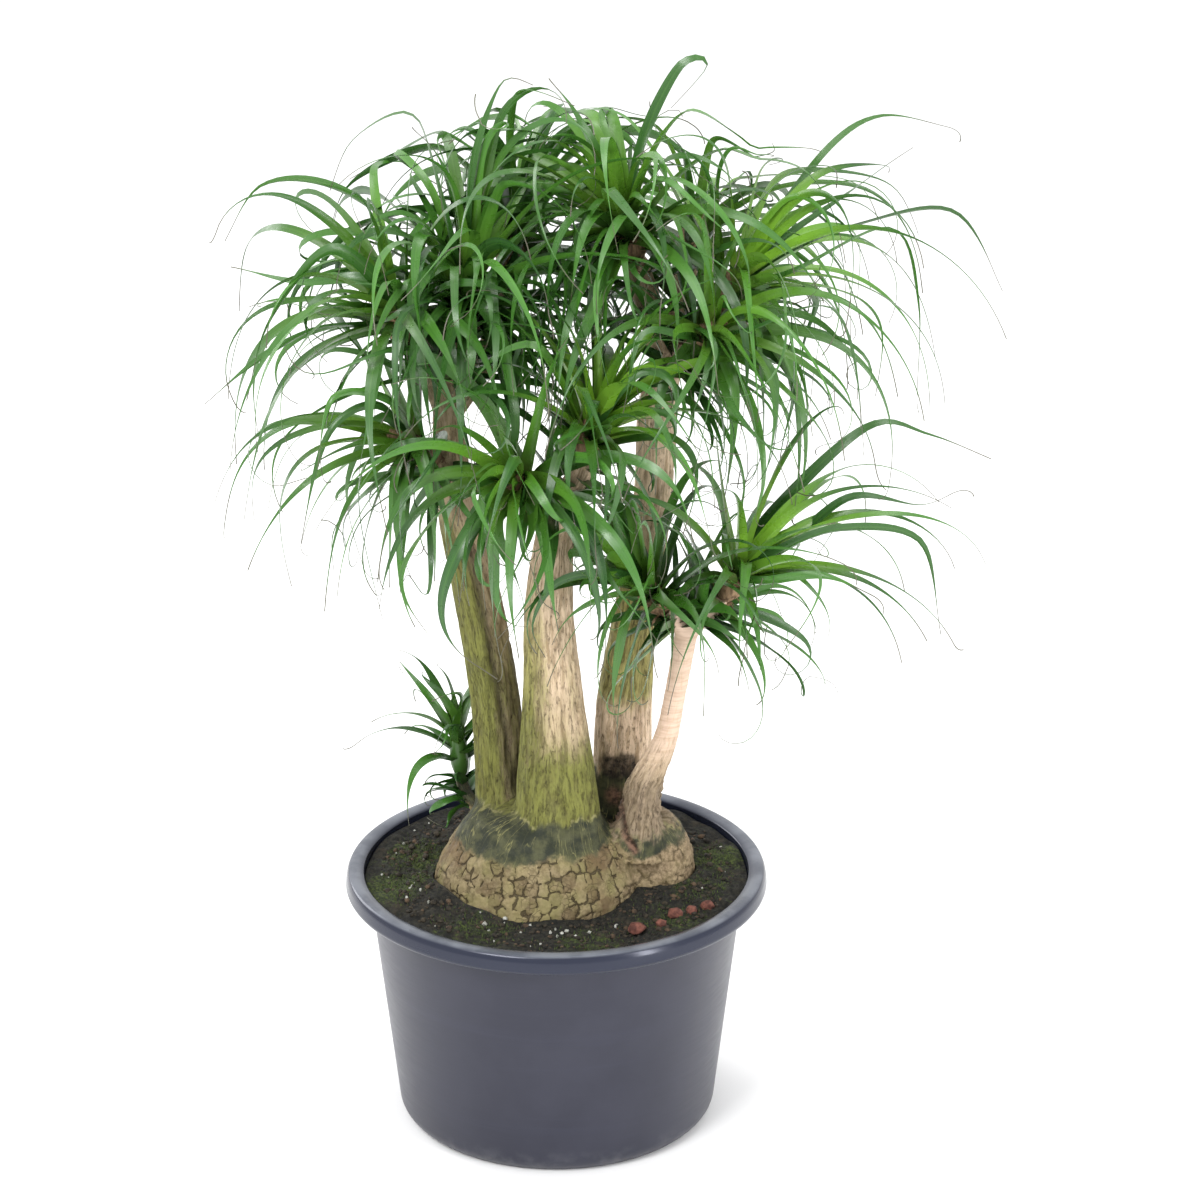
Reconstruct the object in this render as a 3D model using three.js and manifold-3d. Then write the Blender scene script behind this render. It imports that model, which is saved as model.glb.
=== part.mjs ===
// Potted ponytail palm: four trunks grown from one swollen base, in a round plastic container.
// Millimetres, +Z up. The origin is the centre of the pot's underside and -Y faces the viewer.
import * as THREE from 'three';
import { mergeVertices } from 'three/addons/utils/BufferGeometryUtils.js';
import Module from 'manifold-3d';

const wasm = await Module();
wasm.setup();

// Pot: a tapered wall under a rolled rim, on a foot ring with drainage holes inside it.
const POT_HEIGHT = 238;
const POT_SIDES = 44;
const RIM_RADIUS = 190;
const RIM_INNER_RADIUS = 173;
const RIM_BAND = 18;
const WALL_RADIUS_AT_FLOOR = 142.2;
const WALL_TAPER = 0.118;
const WALL_THICKNESS = 3;
const FOOT_RADIUS = 134;
const FOOT_WIDTH = 5;
const FOOT_CHAMFER = 8;
const CENTRE_PAD_RADIUS = 40;
const FLOOR_RECESS = 3;
const FLOOR_TOP = 6;
const FLOOR_FILLET = 6;
const DRAIN_COUNT = 8;
const DRAIN_RADIUS = 7;
const DRAIN_RING_RADIUS = 88;

// Soil: fills the pot to just under the rim, a little higher towards the plant.
const SOIL_LEVEL = 229;
const SOIL_MOUND = 5;
const SOIL_RING_RADII = [165.3, 138, 104, 60];
const TOUCH_GAP = 0.3;
const SLIVER = 0.05;

// Clay chips on the soil: place, size and a seed for their broken shape.
const CLAY_CHIPS = [
  { x: 71, y: -118, size: 8.5, seed: 1 },
  { x: 106, y: -93, size: 7, seed: 2 },
  { x: 120, y: -86, size: 6, seed: 3 },
  { x: 134, y: -75, size: 6.5, seed: 4 },
  { x: 93, y: -112, size: 5, seed: 5 },
];
const CHIP_FLATNESS = 0.8;

// Swollen base: a main body and a smaller lobe on its right, each turned about its own centre.
// A profile is a list of height and radius.
const PLUG_BOTTOM = 172;
const BASE_BODIES = [
  {
    x: -20, y: -15, sides: 24, lump: 0.035, seed: 1,
    profile: [[PLUG_BOTTOM, 91], [226, 91], [244, 87], [264, 78], [284, 65], [302, 49]],
    top: 314,
  },
  {
    x: 84, y: 8, sides: 16, lump: 0.04, seed: 2,
    profile: [[PLUG_BOTTOM, 42], [226, 42], [248, 38.5], [268, 31], [284, 20]],
    top: 293,
  },
];
const HOLE_CLEARANCE = 0.4;

// Trunks: centre line points with the radius at each.
const TRUNK_SIDES = 9;
const TRUNK_RINGS = 7;
const TRUNK_RIDGE = 0.03;
const TRUNKS = {
  left: [
    [-46, 8, 280, 31], [-50, 10, 316, 23.5], [-55, 12, 394, 22], [-69, 15, 488, 21],
    [-88, 15, 583, 17], [-93.5, 15, 675, 13.5],
  ],
  front: [
    [0, -26, 272, 47], [1, -28, 300, 39.5], [0, -28, 355, 33], [-2, -28, 411, 27],
    [-5, -30, 506, 21], [3, -32, 600, 15],
  ],
  right: [
    [57, 38, 270, 34], [59, 42, 317, 27], [61, 44, 380, 25], [72, 48, 475, 18.5],
    [86, 52, 569, 18], [90, 55, 659, 17], [99, 56, 704, 14],
  ],
  thin: [
    [70, -14, 258, 30], [75, -15, 290, 20], [79, -12, 322, 15.5], [97, -10, 364, 11],
    [106, -10, 409, 9.6], [117, -10, 478, 10.5],
  ],
};

// Leaf heads. The neck has a radius and runs from "from" to "top", where the head points along "axis".
// The leaves have a mean length "reach", an outermost lean "spread" in radians and a "droop", and
// none hangs below the height "low". Each entry of "marked" is one leaf of the crown's outline, as
// the points that it passes beyond its root.
const HEADS = [
  {
    name: 'head_left_outer', neck: 10.5,
    from: [-93.5, 15, 664], top: [-119, 4, 729], axis: [-0.45, -0.1, 0.9],
    leaves: 21, reach: 285, spread: 1.7, droop: 2.9, low: 585, seed: 1,
    marked: [
      [[-170, -20, 756], [-208, -30, 754], [-255, -35, 729], [-297, -40, 690]],
      [[-162, 10, 786], [-219, 20, 782], [-284, 30, 788]],
      [[-144, -20, 790], [-190, -50, 832], [-244, -60, 768], [-260, -60, 702]],
    ],
  },
  {
    name: 'head_left_inner', neck: 11,
    from: [-93.5, 15, 666], top: [-78, 19, 738], axis: [0.12, 0.05, 1],
    leaves: 23, reach: 300, spread: 1.65, droop: 2.9, low: 600, seed: 2,
    marked: [
      [[-71, 20, 880], [-45, 20, 957], [-16, 20, 955]],
      [[-97, 20, 860], [-120, 22, 930], [-170, 24, 908], [-191, 24, 860]],
      [[-106, 24, 800], [-183, 34, 860], [-250, 38, 862], [-284, 38, 812]],
    ],
  },
  {
    name: 'head_left_low', neck: 8.5,
    from: [-87, 15, 592], top: [-104, 0, 626], axis: [-0.68, -0.5, 0.62],
    leaves: 18, reach: 230, spread: 1.45, droop: 2.3, low: 530, seed: 23,
    marked: [
      [[-149, -40, 690], [-191, -62, 672], [-218, -72, 580]],
      [[-150, -8, 668], [-180, -6, 607], [-167, -4, 532]],
      [[-139, -60, 702], [-186, -90, 716], [-200, -96, 649]],
    ],
  },
  {
    name: 'head_left_back', neck: 10,
    from: [-93, 18, 662], top: [-38, 84, 772], axis: [0.1, 0.5, 0.85],
    leaves: 18, reach: 270, spread: 1.6, droop: 2.9, low: 610, seed: 4, marked: [],
  },
  {
    name: 'head_front_right', neck: 10.5,
    from: [3, -32, 590], top: [27, -40, 642], axis: [0.3, -0.1, 0.95],
    leaves: 21, reach: 230, spread: 1.4, droop: 2.5, low: 600, seed: 25,
    marked: [
      [[39, -58, 690], [73, -62, 729], [105, -64, 712], [108, -64, 640]],
    ],
  },
  {
    name: 'head_front_low', neck: 9,
    from: [2, -33, 588], top: [-17, -65, 621], axis: [-0.45, -0.75, 0.5],
    leaves: 19, reach: 220, spread: 1.45, droop: 2.5, low: 515, seed: 6,
    marked: [
      [[-50, -105, 650], [-100, -126, 620], [-126, -132, 570], [-104, -132, 519]],
      [[-26, -122, 636], [-33, -136, 582], [-35, -136, 522]],
      [[-44, -118, 646], [-72, -140, 608], [-80, -144, 546]],
    ],
  },
  {
    name: 'head_right_top', neck: 11,
    from: [98, 56, 692], top: [68, 43, 795], axis: [-0.3, -0.12, 0.95],
    leaves: 22, reach: 285, spread: 1.6, droop: 2.9, low: 650, seed: 7,
    marked: [
      [[76, 40, 900], [106, 40, 968], [130, 40, 970], [100, 38, 930]],
      [[42, 38, 880], [20, 36, 932], [-3, 34, 958]],
    ],
  },
  {
    name: 'head_right_outer', neck: 10.5,
    from: [99, 56, 694], top: [141, 42, 748], axis: [0.5, -0.08, 0.85],
    leaves: 23, reach: 290, spread: 1.6, droop: 2.7, low: 640, seed: 8,
    marked: [
      [[182, 58, 816], [238, 80, 882], [284, 92, 908], [338, 100, 898]],
      [[200, 42, 816], [264, 60, 856], [311, 70, 884]],
      [[196, 24, 804], [262, 12, 836], [340, 8, 848], [386, 8, 777]],
      [[204, 4, 796], [286, -6, 838], [312, -8, 771], [316, -8, 685]],
    ],
  },
  {
    name: 'head_right_front', neck: 9.5,
    from: [95, 52, 684], top: [121, 21, 722], axis: [0.42, -0.7, 0.58],
    leaves: 19, reach: 260, spread: 1.55, droop: 2.7, low: 610, seed: 9,
    marked: [
      [[168, -50, 762], [236, -88, 790], [262, -96, 676]],
      [[110, -50, 756], [73, -78, 766], [58, -86, 700]],
    ],
  },
  {
    name: 'head_right_back', neck: 10,
    from: [98, 58, 690], top: [117, 99, 772], axis: [0.2, 0.55, 0.8],
    leaves: 18, reach: 275, spread: 1.6, droop: 2.9, low: 620, seed: 10, marked: [],
  },
  {
    name: 'head_thin_right', neck: 8.2,
    from: [116, -10, 470], top: [146, -13, 503], axis: [0.55, -0.08, 0.83],
    leaves: 20, reach: 240, spread: 1.25, droop: 2.0, low: 470, seed: 31,
    marked: [
      [[187, -30, 548], [246, -50, 581], [318, -60, 572], [335, -60, 486]],
      [[190, 2, 576], [275, 20, 648], [327, 22, 641], [378, 22, 620]],
      [[206, -8, 552], [257, -14, 598], [319, -16, 588], [348, -16, 597]],
      [[183, -52, 532], [229, -74, 548], [270, -84, 534]],
      [[168, -56, 540], [176, -74, 516], [165, -80, 472]],
    ],
  },
  {
    name: 'head_thin_left', neck: 7.8,
    from: [116, -10, 468], top: [97, -20, 494], axis: [-0.6, -0.3, 0.74],
    leaves: 18, reach: 210, spread: 1.25, droop: 2.1, low: 470, seed: 12,
    marked: [
      [[52, -60, 542], [5, -82, 545], [-16, -86, 508], [-8, -88, 476]],
      [[64, -50, 556], [46, -64, 606], [38, -66, 560]],
    ],
  },
  {
    name: 'shoot_basal', neck: 5.5,
    from: [-62, 34, 268], top: [-87, 60, 300], axis: [-0.08, 0.05, 1],
    leaves: 14, reach: 105, spread: 1.15, droop: 2.0, low: 268, seed: 13, marked: [],
  },
];
const NECK_SIDES = 7;
const NECK_RIDGE = 0.02;
const CORE_SIDES = 7;
// Core of a head, as heights above the neck and shares of the neck's radius.
const CORE_PROFILE = [[TOUCH_GAP, 0.98], [12, 1.55], [34, 1.15], [58, 0.45]];
const SHORT_REACH = 150;
const SHOOT_CORE_SCALE = 1.25;

// Leaves: long straps that rise from the head, arch over and hang, thinning to a thread.
const GOLDEN_ANGLE = 2.39996;
const LEAF_STEPS = 25;
const LEAF_STATIONS = 5;
const LEAF_WIDTH = 12;
const LEAF_THICKNESS = 1.7;
const ROOT_WIDTH = 0.4;
// Sides of a blade's section below its flat face: split like that face, they don't cross it where it twists.
const BLADE_UNDERSIDES = [1, 2];
const LEAN_INNER = 0.2;
const ROOT_HIGH = 40;
const ROOT_LOW = 9;
const MARKED_ROOT = 20;
const SWERVE = 1.5;
const LEAF_TWIST = 1.6;
const ATTEMPTS = 60;
const CROWN_BOX = { left: -298, right: 384, front: -236, back: 240, top: 980 };
const LEAF_GAP = 0.5;
const KIN_SHARE = 0.8;
const WOOD_GAP = 1.5;

const POT_MATERIAL = new THREE.MeshStandardMaterial({ color: 0x3d4250, roughness: 0.42, metalness: 0 });
const SOIL_MATERIAL = new THREE.MeshStandardMaterial({ color: 0x2a2419, roughness: 0.95, metalness: 0 });
const CLAY_MATERIAL = new THREE.MeshStandardMaterial({ color: 0x7c3d31, roughness: 0.9, metalness: 0 });
const WOOD_MATERIAL = new THREE.MeshStandardMaterial({ color: 0xa88f6c, roughness: 0.85, metalness: 0 });
const LEAF_MATERIAL = new THREE.MeshStandardMaterial({ color: 0x2f7d32, roughness: 0.4, metalness: 0 });

const UP = new THREE.Vector3(0, 0, 1);

// A number from 0 to 1 that is always the same for the same three seeds.
function draw(a, b, c) {
  const wave = Math.sin(a * 12.9898 + b * 78.233 + c * 37.719) * 43758.5453;
  return wave - Math.floor(wave);
}

function mix(a, b, share) {
  return a + (b - a) * share;
}

function vector([x, y, z]) {
  return new THREE.Vector3(x, y, z);
}

// A closed skin over rings of points, each turning left about the way forward.
// A first or last ring of one point closes to it, and any other is closed flat.
// The sides named in "turned" are split along their other diagonal.
function loft(rings, turned = []) {
  const positions = [];
  const triangles = [];
  const starts = [];
  for (const ring of rings) {
    starts.push(positions.length / 3);
    for (const point of ring) positions.push(point.x, point.y, point.z);
  }
  for (let r = 0; r + 1 < rings.length; r++) {
    const [a, b] = [starts[r], starts[r + 1]];
    const [countA, countB] = [rings[r].length, rings[r + 1].length];
    for (let i = 0; i < Math.max(countA, countB); i++) {
      const next = (i + 1) % Math.max(countA, countB);
      if (countA === 1) triangles.push(a, b + next, b + i);
      else if (countB === 1) triangles.push(a + i, a + next, b);
      else if (turned.includes(i)) triangles.push(a + i, a + next, b + i, a + next, b + next, b + i);
      else triangles.push(a + i, a + next, b + next, a + i, b + next, b + i);
    }
  }
  const last = rings.length - 1;
  for (let i = 1; i + 1 < rings[0].length; i++) triangles.push(0, i + 1, i);
  for (let i = 1; i + 1 < rings[last].length; i++) {
    triangles.push(starts[last], starts[last] + i, starts[last] + i + 1);
  }
  const geometry = new THREE.BufferGeometry();
  geometry.setAttribute('position', new THREE.Float32BufferAttribute(positions, 3));
  geometry.setIndex(triangles);
  return geometry;
}

function solidOf(geometry) {
  const vertProperties = new Float32Array(geometry.attributes.position.array);
  const triVerts = new Uint32Array(geometry.index.array);
  return new wasm.Manifold(new wasm.Mesh({ numProp: 3, vertProperties, triVerts }));
}

function weldedSolidOf(geometry) {
  geometry.deleteAttribute('normal');
  geometry.deleteAttribute('uv');
  return solidOf(mergeVertices(geometry, 1e-3));
}

// The largest body of a solid: sealed hollows are filled and loose scraps dropped.
function mainBodyOf(solid) {
  const bodies = solid.decompose();
  bodies.sort((a, b) => b.volume() - a.volume());
  return bodies[0];
}

// Draws each edge shorter than SLIVER together where its surroundings allow, and stretches it where they don't.
// Returns the faces that are left, the largest first.
function withoutSlivers(corners, triVerts) {
  let faces = [];
  for (let i = 0; i < triVerts.length; i += 3) faces.push(Array.from(triVerts.slice(i, i + 3)));
  const corner = (i) => new THREE.Vector3().fromArray(corners, 3 * i);
  const stiff = new Map();
  const shortEdge = () => {
    for (const face of faces) {
      for (let k = 0; k < 3; k++) {
        const [a, b] = [face[k], face[(k + 1) % 3]];
        if (a < b && !stiff.has(`${a} ${b}`) && corner(a).distanceTo(corner(b)) < SLIVER) return [a, b];
      }
    }
    return null;
  };
  const neighbours = (v) => new Set(faces.filter((face) => face.includes(v)).flat());
  for (let edge = shortEdge(); edge; edge = shortEdge()) {
    const [a, b] = edge;
    const aroundB = neighbours(b);
    const shared = [...neighbours(a)].filter((v) => v !== a && v !== b && aroundB.has(v));
    if (shared.length === 2) {
      faces = faces.map((face) => face.map((v) => (v === b ? a : v))).filter((face) => new Set(face).size === 3);
    } else stiff.set(`${a} ${b}`, edge);
  }
  for (const [a, b] of stiff.values()) {
    const stretch = corner(b).sub(corner(a));
    corner(b).add(stretch.setLength(Math.max(0, SLIVER - stretch.length()))).toArray(corners, 3 * b);
  }
  const area = (face) => new THREE.Triangle(...face.map(corner)).getArea();
  return faces.sort((face, other) => area(other) - area(face)).flat();
}

function meshOf(name, solid, material) {
  const { vertProperties, triVerts } = solid.getMesh();
  const faces = withoutSlivers(vertProperties, triVerts);
  const geometry = new THREE.BufferGeometry();
  geometry.setAttribute('position', new THREE.Float32BufferAttribute(vertProperties, 3));
  geometry.setIndex(faces);
  const mesh = new THREE.Mesh(mergeVertices(geometry, 1e-6), material);
  mesh.name = name;
  return mesh;
}

// Pot

function wallRadius(z) {
  return WALL_RADIUS_AT_FLOOR + WALL_TAPER * z;
}

function potSolid() {
  const bandBottom = POT_HEIGHT - RIM_BAND;
  const profile = [
    [0, 0],
    [CENTRE_PAD_RADIUS - FLOOR_RECESS, 0],
    [CENTRE_PAD_RADIUS, FLOOR_RECESS],
    [FOOT_RADIUS - FOOT_WIDTH, FLOOR_RECESS],
    [FOOT_RADIUS - FOOT_WIDTH, 0],
    [FOOT_RADIUS, 0],
    [wallRadius(FOOT_CHAMFER), FOOT_CHAMFER],
    [wallRadius(bandBottom - 3), bandBottom - 3],
    [RIM_RADIUS - 2, bandBottom],
    [RIM_RADIUS, bandBottom + 3],
    [RIM_RADIUS - 3, POT_HEIGHT - 1.5],
    [RIM_RADIUS - 8, POT_HEIGHT],
    [RIM_INNER_RADIUS, POT_HEIGHT - 2.5],
    [wallRadius(bandBottom + 8) - WALL_THICKNESS, bandBottom + 8],
    [wallRadius(FLOOR_TOP + FLOOR_FILLET) - WALL_THICKNESS, FLOOR_TOP + FLOOR_FILLET],
    [wallRadius(FLOOR_TOP) - WALL_THICKNESS - FLOOR_FILLET, FLOOR_TOP],
    [0, FLOOR_TOP],
  ];
  const points = profile.map(([radius, height]) => new THREE.Vector2(radius, height));
  const shell = weldedSolidOf(new THREE.LatheGeometry(points, POT_SIDES).rotateX(Math.PI / 2));
  const drains = [];
  for (let i = 0; i < DRAIN_COUNT; i++) {
    const angle = (i + 0.5) / DRAIN_COUNT * 2 * Math.PI;
    const drain = new THREE.CylinderGeometry(DRAIN_RADIUS, DRAIN_RADIUS, 2 * FLOOR_TOP, 8);
    drain.rotateX(Math.PI / 2);
    drain.translate(DRAIN_RING_RADIUS * Math.cos(angle), DRAIN_RING_RADIUS * Math.sin(angle), FLOOR_TOP);
    drains.push(weldedSolidOf(drain));
  }
  return shell.subtract(wasm.Manifold.union(drains));
}

// Swollen base

// Radius share of a base body at an angle: the slow swells of its outline.
function baseSwell(body, angle) {
  const phase = body.seed * 1.7;
  return 1 + body.lump * (0.6 * Math.sin(3 * angle + phase) + 0.4 * Math.sin(5 * angle + 2 * phase));
}

function baseRing(body, height, radius) {
  const ring = [];
  for (let i = 0; i < body.sides; i++) {
    const angle = i / body.sides * 2 * Math.PI;
    const r = radius * baseSwell(body, angle);
    ring.push(new THREE.Vector3(body.x + r * Math.cos(angle), body.y + r * Math.sin(angle), height));
  }
  return ring;
}

function baseSolid(body) {
  const rings = body.profile.map(([height, radius]) => baseRing(body, height, radius));
  rings.push([new THREE.Vector3(body.x, body.y, body.top)]);
  return solidOf(loft(rings));
}

// The plain hole in the soil that the buried part of the base stands in.
function baseHole() {
  const prisms = BASE_BODIES.map((body) => {
    const radius = body.profile[0][1] + HOLE_CLEARANCE;
    const bottom = baseRing(body, PLUG_BOTTOM - HOLE_CLEARANCE, radius);
    return solidOf(loft([bottom, baseRing(body, POT_HEIGHT + 10, radius)]));
  });
  return prisms[0].add(prisms[1]);
}

// Soil

function soilHeight(x, y) {
  const ripple = 1.6 * Math.sin(0.061 * x + 1) * Math.cos(0.052 * y) + 1.1 * Math.sin(0.11 * x - 0.083 * y);
  const mound = SOIL_MOUND * Math.max(0, 1 - Math.hypot(x, y) / wallRadius(SOIL_LEVEL));
  return SOIL_LEVEL + ripple + mound;
}

function soilRing(radius, height) {
  const ring = [];
  for (let i = 0; i < POT_SIDES; i++) {
    const angle = i / POT_SIDES * 2 * Math.PI;
    const [x, y] = [radius * Math.cos(angle), radius * Math.sin(angle)];
    ring.push(new THREE.Vector3(x, y, height ?? soilHeight(x, y)));
  }
  return ring;
}

function soilBlock() {
  const bottom = FLOOR_TOP + TOUCH_GAP;
  const edge = (height) => wallRadius(height) - WALL_THICKNESS - TOUCH_GAP;
  return solidOf(loft([
    [new THREE.Vector3(0, 0, bottom)],
    soilRing(edge(bottom) - FLOOR_FILLET, bottom),
    soilRing(edge(bottom + FLOOR_FILLET), bottom + FLOOR_FILLET + TOUCH_GAP),
    ...SOIL_RING_RADII.map((radius) => soilRing(radius)),
    [new THREE.Vector3(0, 0, soilHeight(0, 0))],
  ]));
}

// A broken clay chip, flattened below to lie on the soil.
function chipSolid(chip, soil) {
  const geometry = new THREE.IcosahedronGeometry(1.05 * chip.size, 0);
  geometry.deleteAttribute('normal');
  geometry.deleteAttribute('uv');
  const welded = mergeVertices(geometry, 1e-3);
  const position = welded.attributes.position;
  for (let i = 0; i < position.count; i++) {
    const stretch = mix(0.82, 1.16, draw(chip.seed, i, 1));
    const corner = new THREE.Vector3().fromBufferAttribute(position, i).multiplyScalar(stretch);
    position.setXYZ(i, corner.x, corner.y, CHIP_FLATNESS * corner.z);
  }
  welded.rotateZ(chip.seed * 1.3);
  welded.translate(chip.x, chip.y, soilHeight(chip.x, chip.y) + 0.4 * chip.size);
  return mainBodyOf(solidOf(welded).subtract(soil.translate([0, 0, TOUCH_GAP])));
}

// Trunks and necks

// A smooth line through rows of numbers, at a share from 0 to 1 of its spans.
function smooth(rows, share) {
  const spans = rows.length - 1;
  const span = Math.min(Math.floor(share * spans), spans - 1);
  const t = share * spans - span;
  const at = (i) => rows[Math.max(0, Math.min(spans, i))];
  const [p0, p1, p2, p3] = [at(span - 1), at(span), at(span + 1), at(span + 2)];
  return p1.map((_, k) => 0.5 * (2 * p1[k] + (p2[k] - p0[k]) * t
    + (2 * p0[k] - 5 * p1[k] + 4 * p2[k] - p3[k]) * t * t
    + (3 * p1[k] - p0[k] - 3 * p2[k] + p3[k]) * t * t * t));
}

// A ring of bark across a way forward, with upright ridges.
function barkRing(centre, forward, radius, sides, ridge, seed) {
  const right = new THREE.Vector3(1, 0, 0).addScaledVector(forward, -forward.x).normalize();
  const back = forward.clone().cross(right);
  const ring = [];
  for (let i = 0; i < sides; i++) {
    const angle = i / sides * 2 * Math.PI;
    const r = radius * (1 + ridge * Math.sin(3 * angle + seed) + ridge * Math.sin(5 * angle + 2.3 * seed));
    const point = centre.clone().addScaledVector(right, r * Math.cos(angle));
    ring.push(point.addScaledVector(back, r * Math.sin(angle)));
  }
  return ring;
}

function trunkSolid(rows, seed) {
  const rings = [];
  const step = 0.01;
  for (let k = 0; k <= TRUNK_RINGS; k++) {
    const share = k / TRUNK_RINGS;
    const [x, y, z, radius] = smooth(rows, share);
    const ahead = vector(smooth(rows, Math.min(1, share + step)));
    const behind = vector(smooth(rows, Math.max(0, share - step)));
    const forward = ahead.sub(behind).normalize();
    rings.push(barkRing(new THREE.Vector3(x, y, z), forward, radius, TRUNK_SIDES, TRUNK_RIDGE, seed));
  }
  return solidOf(loft(rings));
}

function neckPoint(head, share) {
  const [from, top, axis] = [vector(head.from), vector(head.top), vector(head.axis).normalize()];
  const bend = top.clone().addScaledVector(axis, -0.5 * from.distanceTo(top));
  const curve = new THREE.QuadraticBezierCurve3(from, bend, top);
  return { centre: curve.getPoint(share), forward: curve.getTangent(share) };
}

function neckRadius(head, share) {
  return head.neck * mix(1.15, 1, share);
}

function neckSolid(head) {
  const rings = [0, 0.55, 1].map((share) => {
    const { centre, forward } = neckPoint(head, share);
    return barkRing(centre, forward, neckRadius(head, share), NECK_SIDES, NECK_RIDGE, head.seed);
  });
  return solidOf(loft(rings));
}

// The short basal shoot has a core that is longer for its leaves.
function coreScale(head) {
  return head.reach < SHORT_REACH ? SHOOT_CORE_SCALE : 1;
}

// Leaves

function leafWidth(share) {
  return LEAF_WIDTH * (0.55 * Math.sqrt(1 - share) + 0.45 * (1 - share)) * (1 + 0.3 * (1 - share) ** 6);
}

function evenPoints(points, count) {
  const along = [0];
  for (let i = 1; i < points.length; i++) along.push(along[i - 1] + points[i].distanceTo(points[i - 1]));
  const even = [];
  let span = 0;
  for (let k = 0; k <= count; k++) {
    const wanted = along[along.length - 1] * k / count;
    while (span < points.length - 2 && along[span + 1] < wanted) span++;
    const t = (wanted - along[span]) / (along[span + 1] - along[span]);
    even.push(points[span].clone().lerp(points[span + 1], t));
  }
  return even;
}

// Points of a leaf that follows the head's rule: golden-angle turns, inner leaves upright.
function ruleLeaf(head, index, attempt) {
  const random = (k) => draw(head.seed, index + 1, 9 * attempt + k);
  const loose = 1 + 0.08 * attempt;
  const share = (index + 0.5) / head.leaves;
  const axis = vector(head.axis).normalize();
  const right = new THREE.Vector3(1, 0, 0).addScaledVector(axis, -axis.x).normalize();
  const back = axis.clone().cross(right);
  const turn = index * GOLDEN_ANGLE + head.seed + (random(1) - 0.5) * 0.5 * loose;
  const lean = mix(LEAN_INNER, head.spread, share ** 0.8) + (random(2) - 0.5) * 0.4 * loose;
  const length = head.reach * (0.78 + 0.34 * random(3)) * (1 - 0.006 * attempt);
  const droop = head.droop * (0.7 + 0.6 * random(4)) * (1 + 0.01 * attempt);
  const swerve = SWERVE * (2 * random(5) - 1) * loose;
  const outward = right.multiplyScalar(Math.cos(turn)).addScaledVector(back, Math.sin(turn));
  const way = axis.clone().multiplyScalar(Math.cos(lean)).addScaledVector(outward, Math.sin(lean));
  const point = vector(head.top).addScaledVector(axis, coreScale(head) * mix(ROOT_HIGH, ROOT_LOW, share));
  point.addScaledVector(outward, mix(0.2, 0.9, share) * head.neck);
  const points = [point.clone()];
  for (let k = 0; k < LEAF_STEPS; k++) {
    const along = (k + 0.5) / LEAF_STEPS;
    way.z -= droop * (0.3 + 1.4 * along) / LEAF_STEPS;
    way.applyAxisAngle(UP, swerve * 2 * along / LEAF_STEPS).normalize();
    point.addScaledVector(way, length / LEAF_STEPS);
    points.push(point.clone());
  }
  return points;
}

// Points of a marked leaf, moved a little further from its marks with each attempt.
function markedLeaf(head, index, attempt) {
  const rows = [vector(head.top).addScaledVector(vector(head.axis).normalize(), MARKED_ROOT).toArray()];
  head.marked[index].forEach((mark, m) => {
    const shift = (k) => 5 * attempt * (m + 1) / head.marked[index].length
      * (draw(head.seed, 40 + index, 9 * attempt + k) - 0.5);
    rows.push([mark[0] + 0.5 * shift(1), mark[1] + 2 * shift(2), mark[2] + 0.5 * shift(3)]);
  });
  const points = [];
  for (let k = 0; k <= 4 * LEAF_STEPS; k++) points.push(vector(smooth(rows, k / (4 * LEAF_STEPS))));
  return evenPoints(points, LEAF_STEPS);
}

// Every fifth of a leaf's points is a station of its solid.
function stationsOf(points) {
  return points.filter((_, k) => k % (LEAF_STEPS / LEAF_STATIONS) === 0);
}

function bladeSolid(head, index, points) {
  const axis = vector(head.axis).normalize();
  const stations = stationsOf(points);
  const twist = LEAF_TWIST * (2 * draw(head.seed, index + 1, 7) - 1) / LEAF_STATIONS;
  let side = axis.clone().cross(points[3].clone().sub(points[0])).normalize();
  const rings = [];
  stations.forEach((centre, s) => {
    const k = s * LEAF_STEPS / LEAF_STATIONS;
    const ahead = points[Math.min(k + 1, LEAF_STEPS)];
    const forward = ahead.clone().sub(points[Math.max(k - 1, 0)]).normalize();
    side.addScaledVector(forward, -side.dot(forward)).normalize().applyAxisAngle(forward, twist);
    if (s === LEAF_STATIONS) {
      rings.push([centre]);
      return;
    }
    const share = s / LEAF_STATIONS;
    const half = 0.5 * leafWidth(share) * (s === 0 ? ROOT_WIDTH : 1);
    const keel = side.clone().cross(forward).multiplyScalar(LEAF_THICKNESS * mix(1, 0.6, share));
    rings.push([
      centre.clone().addScaledVector(side, half),
      centre.clone().addScaledVector(side, -half),
      centre.clone().add(keel),
    ]);
  });
  return solidOf(loft(rings, BLADE_UNDERSIDES));
}

// Shortest distance between the stretches a-b and c-d.
function stretchDistance(a, b, c, d) {
  const [u, v, w] = [b.clone().sub(a), d.clone().sub(c), a.clone().sub(c)];
  const [uu, uv, vv, uw, vw] = [u.dot(u), u.dot(v), v.dot(v), u.dot(w), v.dot(w)];
  const cross = uu * vv - uv * uv;
  const clamp = (x) => Math.max(0, Math.min(1, x));
  let s = cross > 1e-9 ? clamp((uv * vw - vv * uw) / cross) : 0;
  const t = clamp((uv * s + vw) / vv);
  s = clamp((uv * t - uw) / uu);
  return w.addScaledVector(u, s).addScaledVector(v, -t).length();
}

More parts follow.
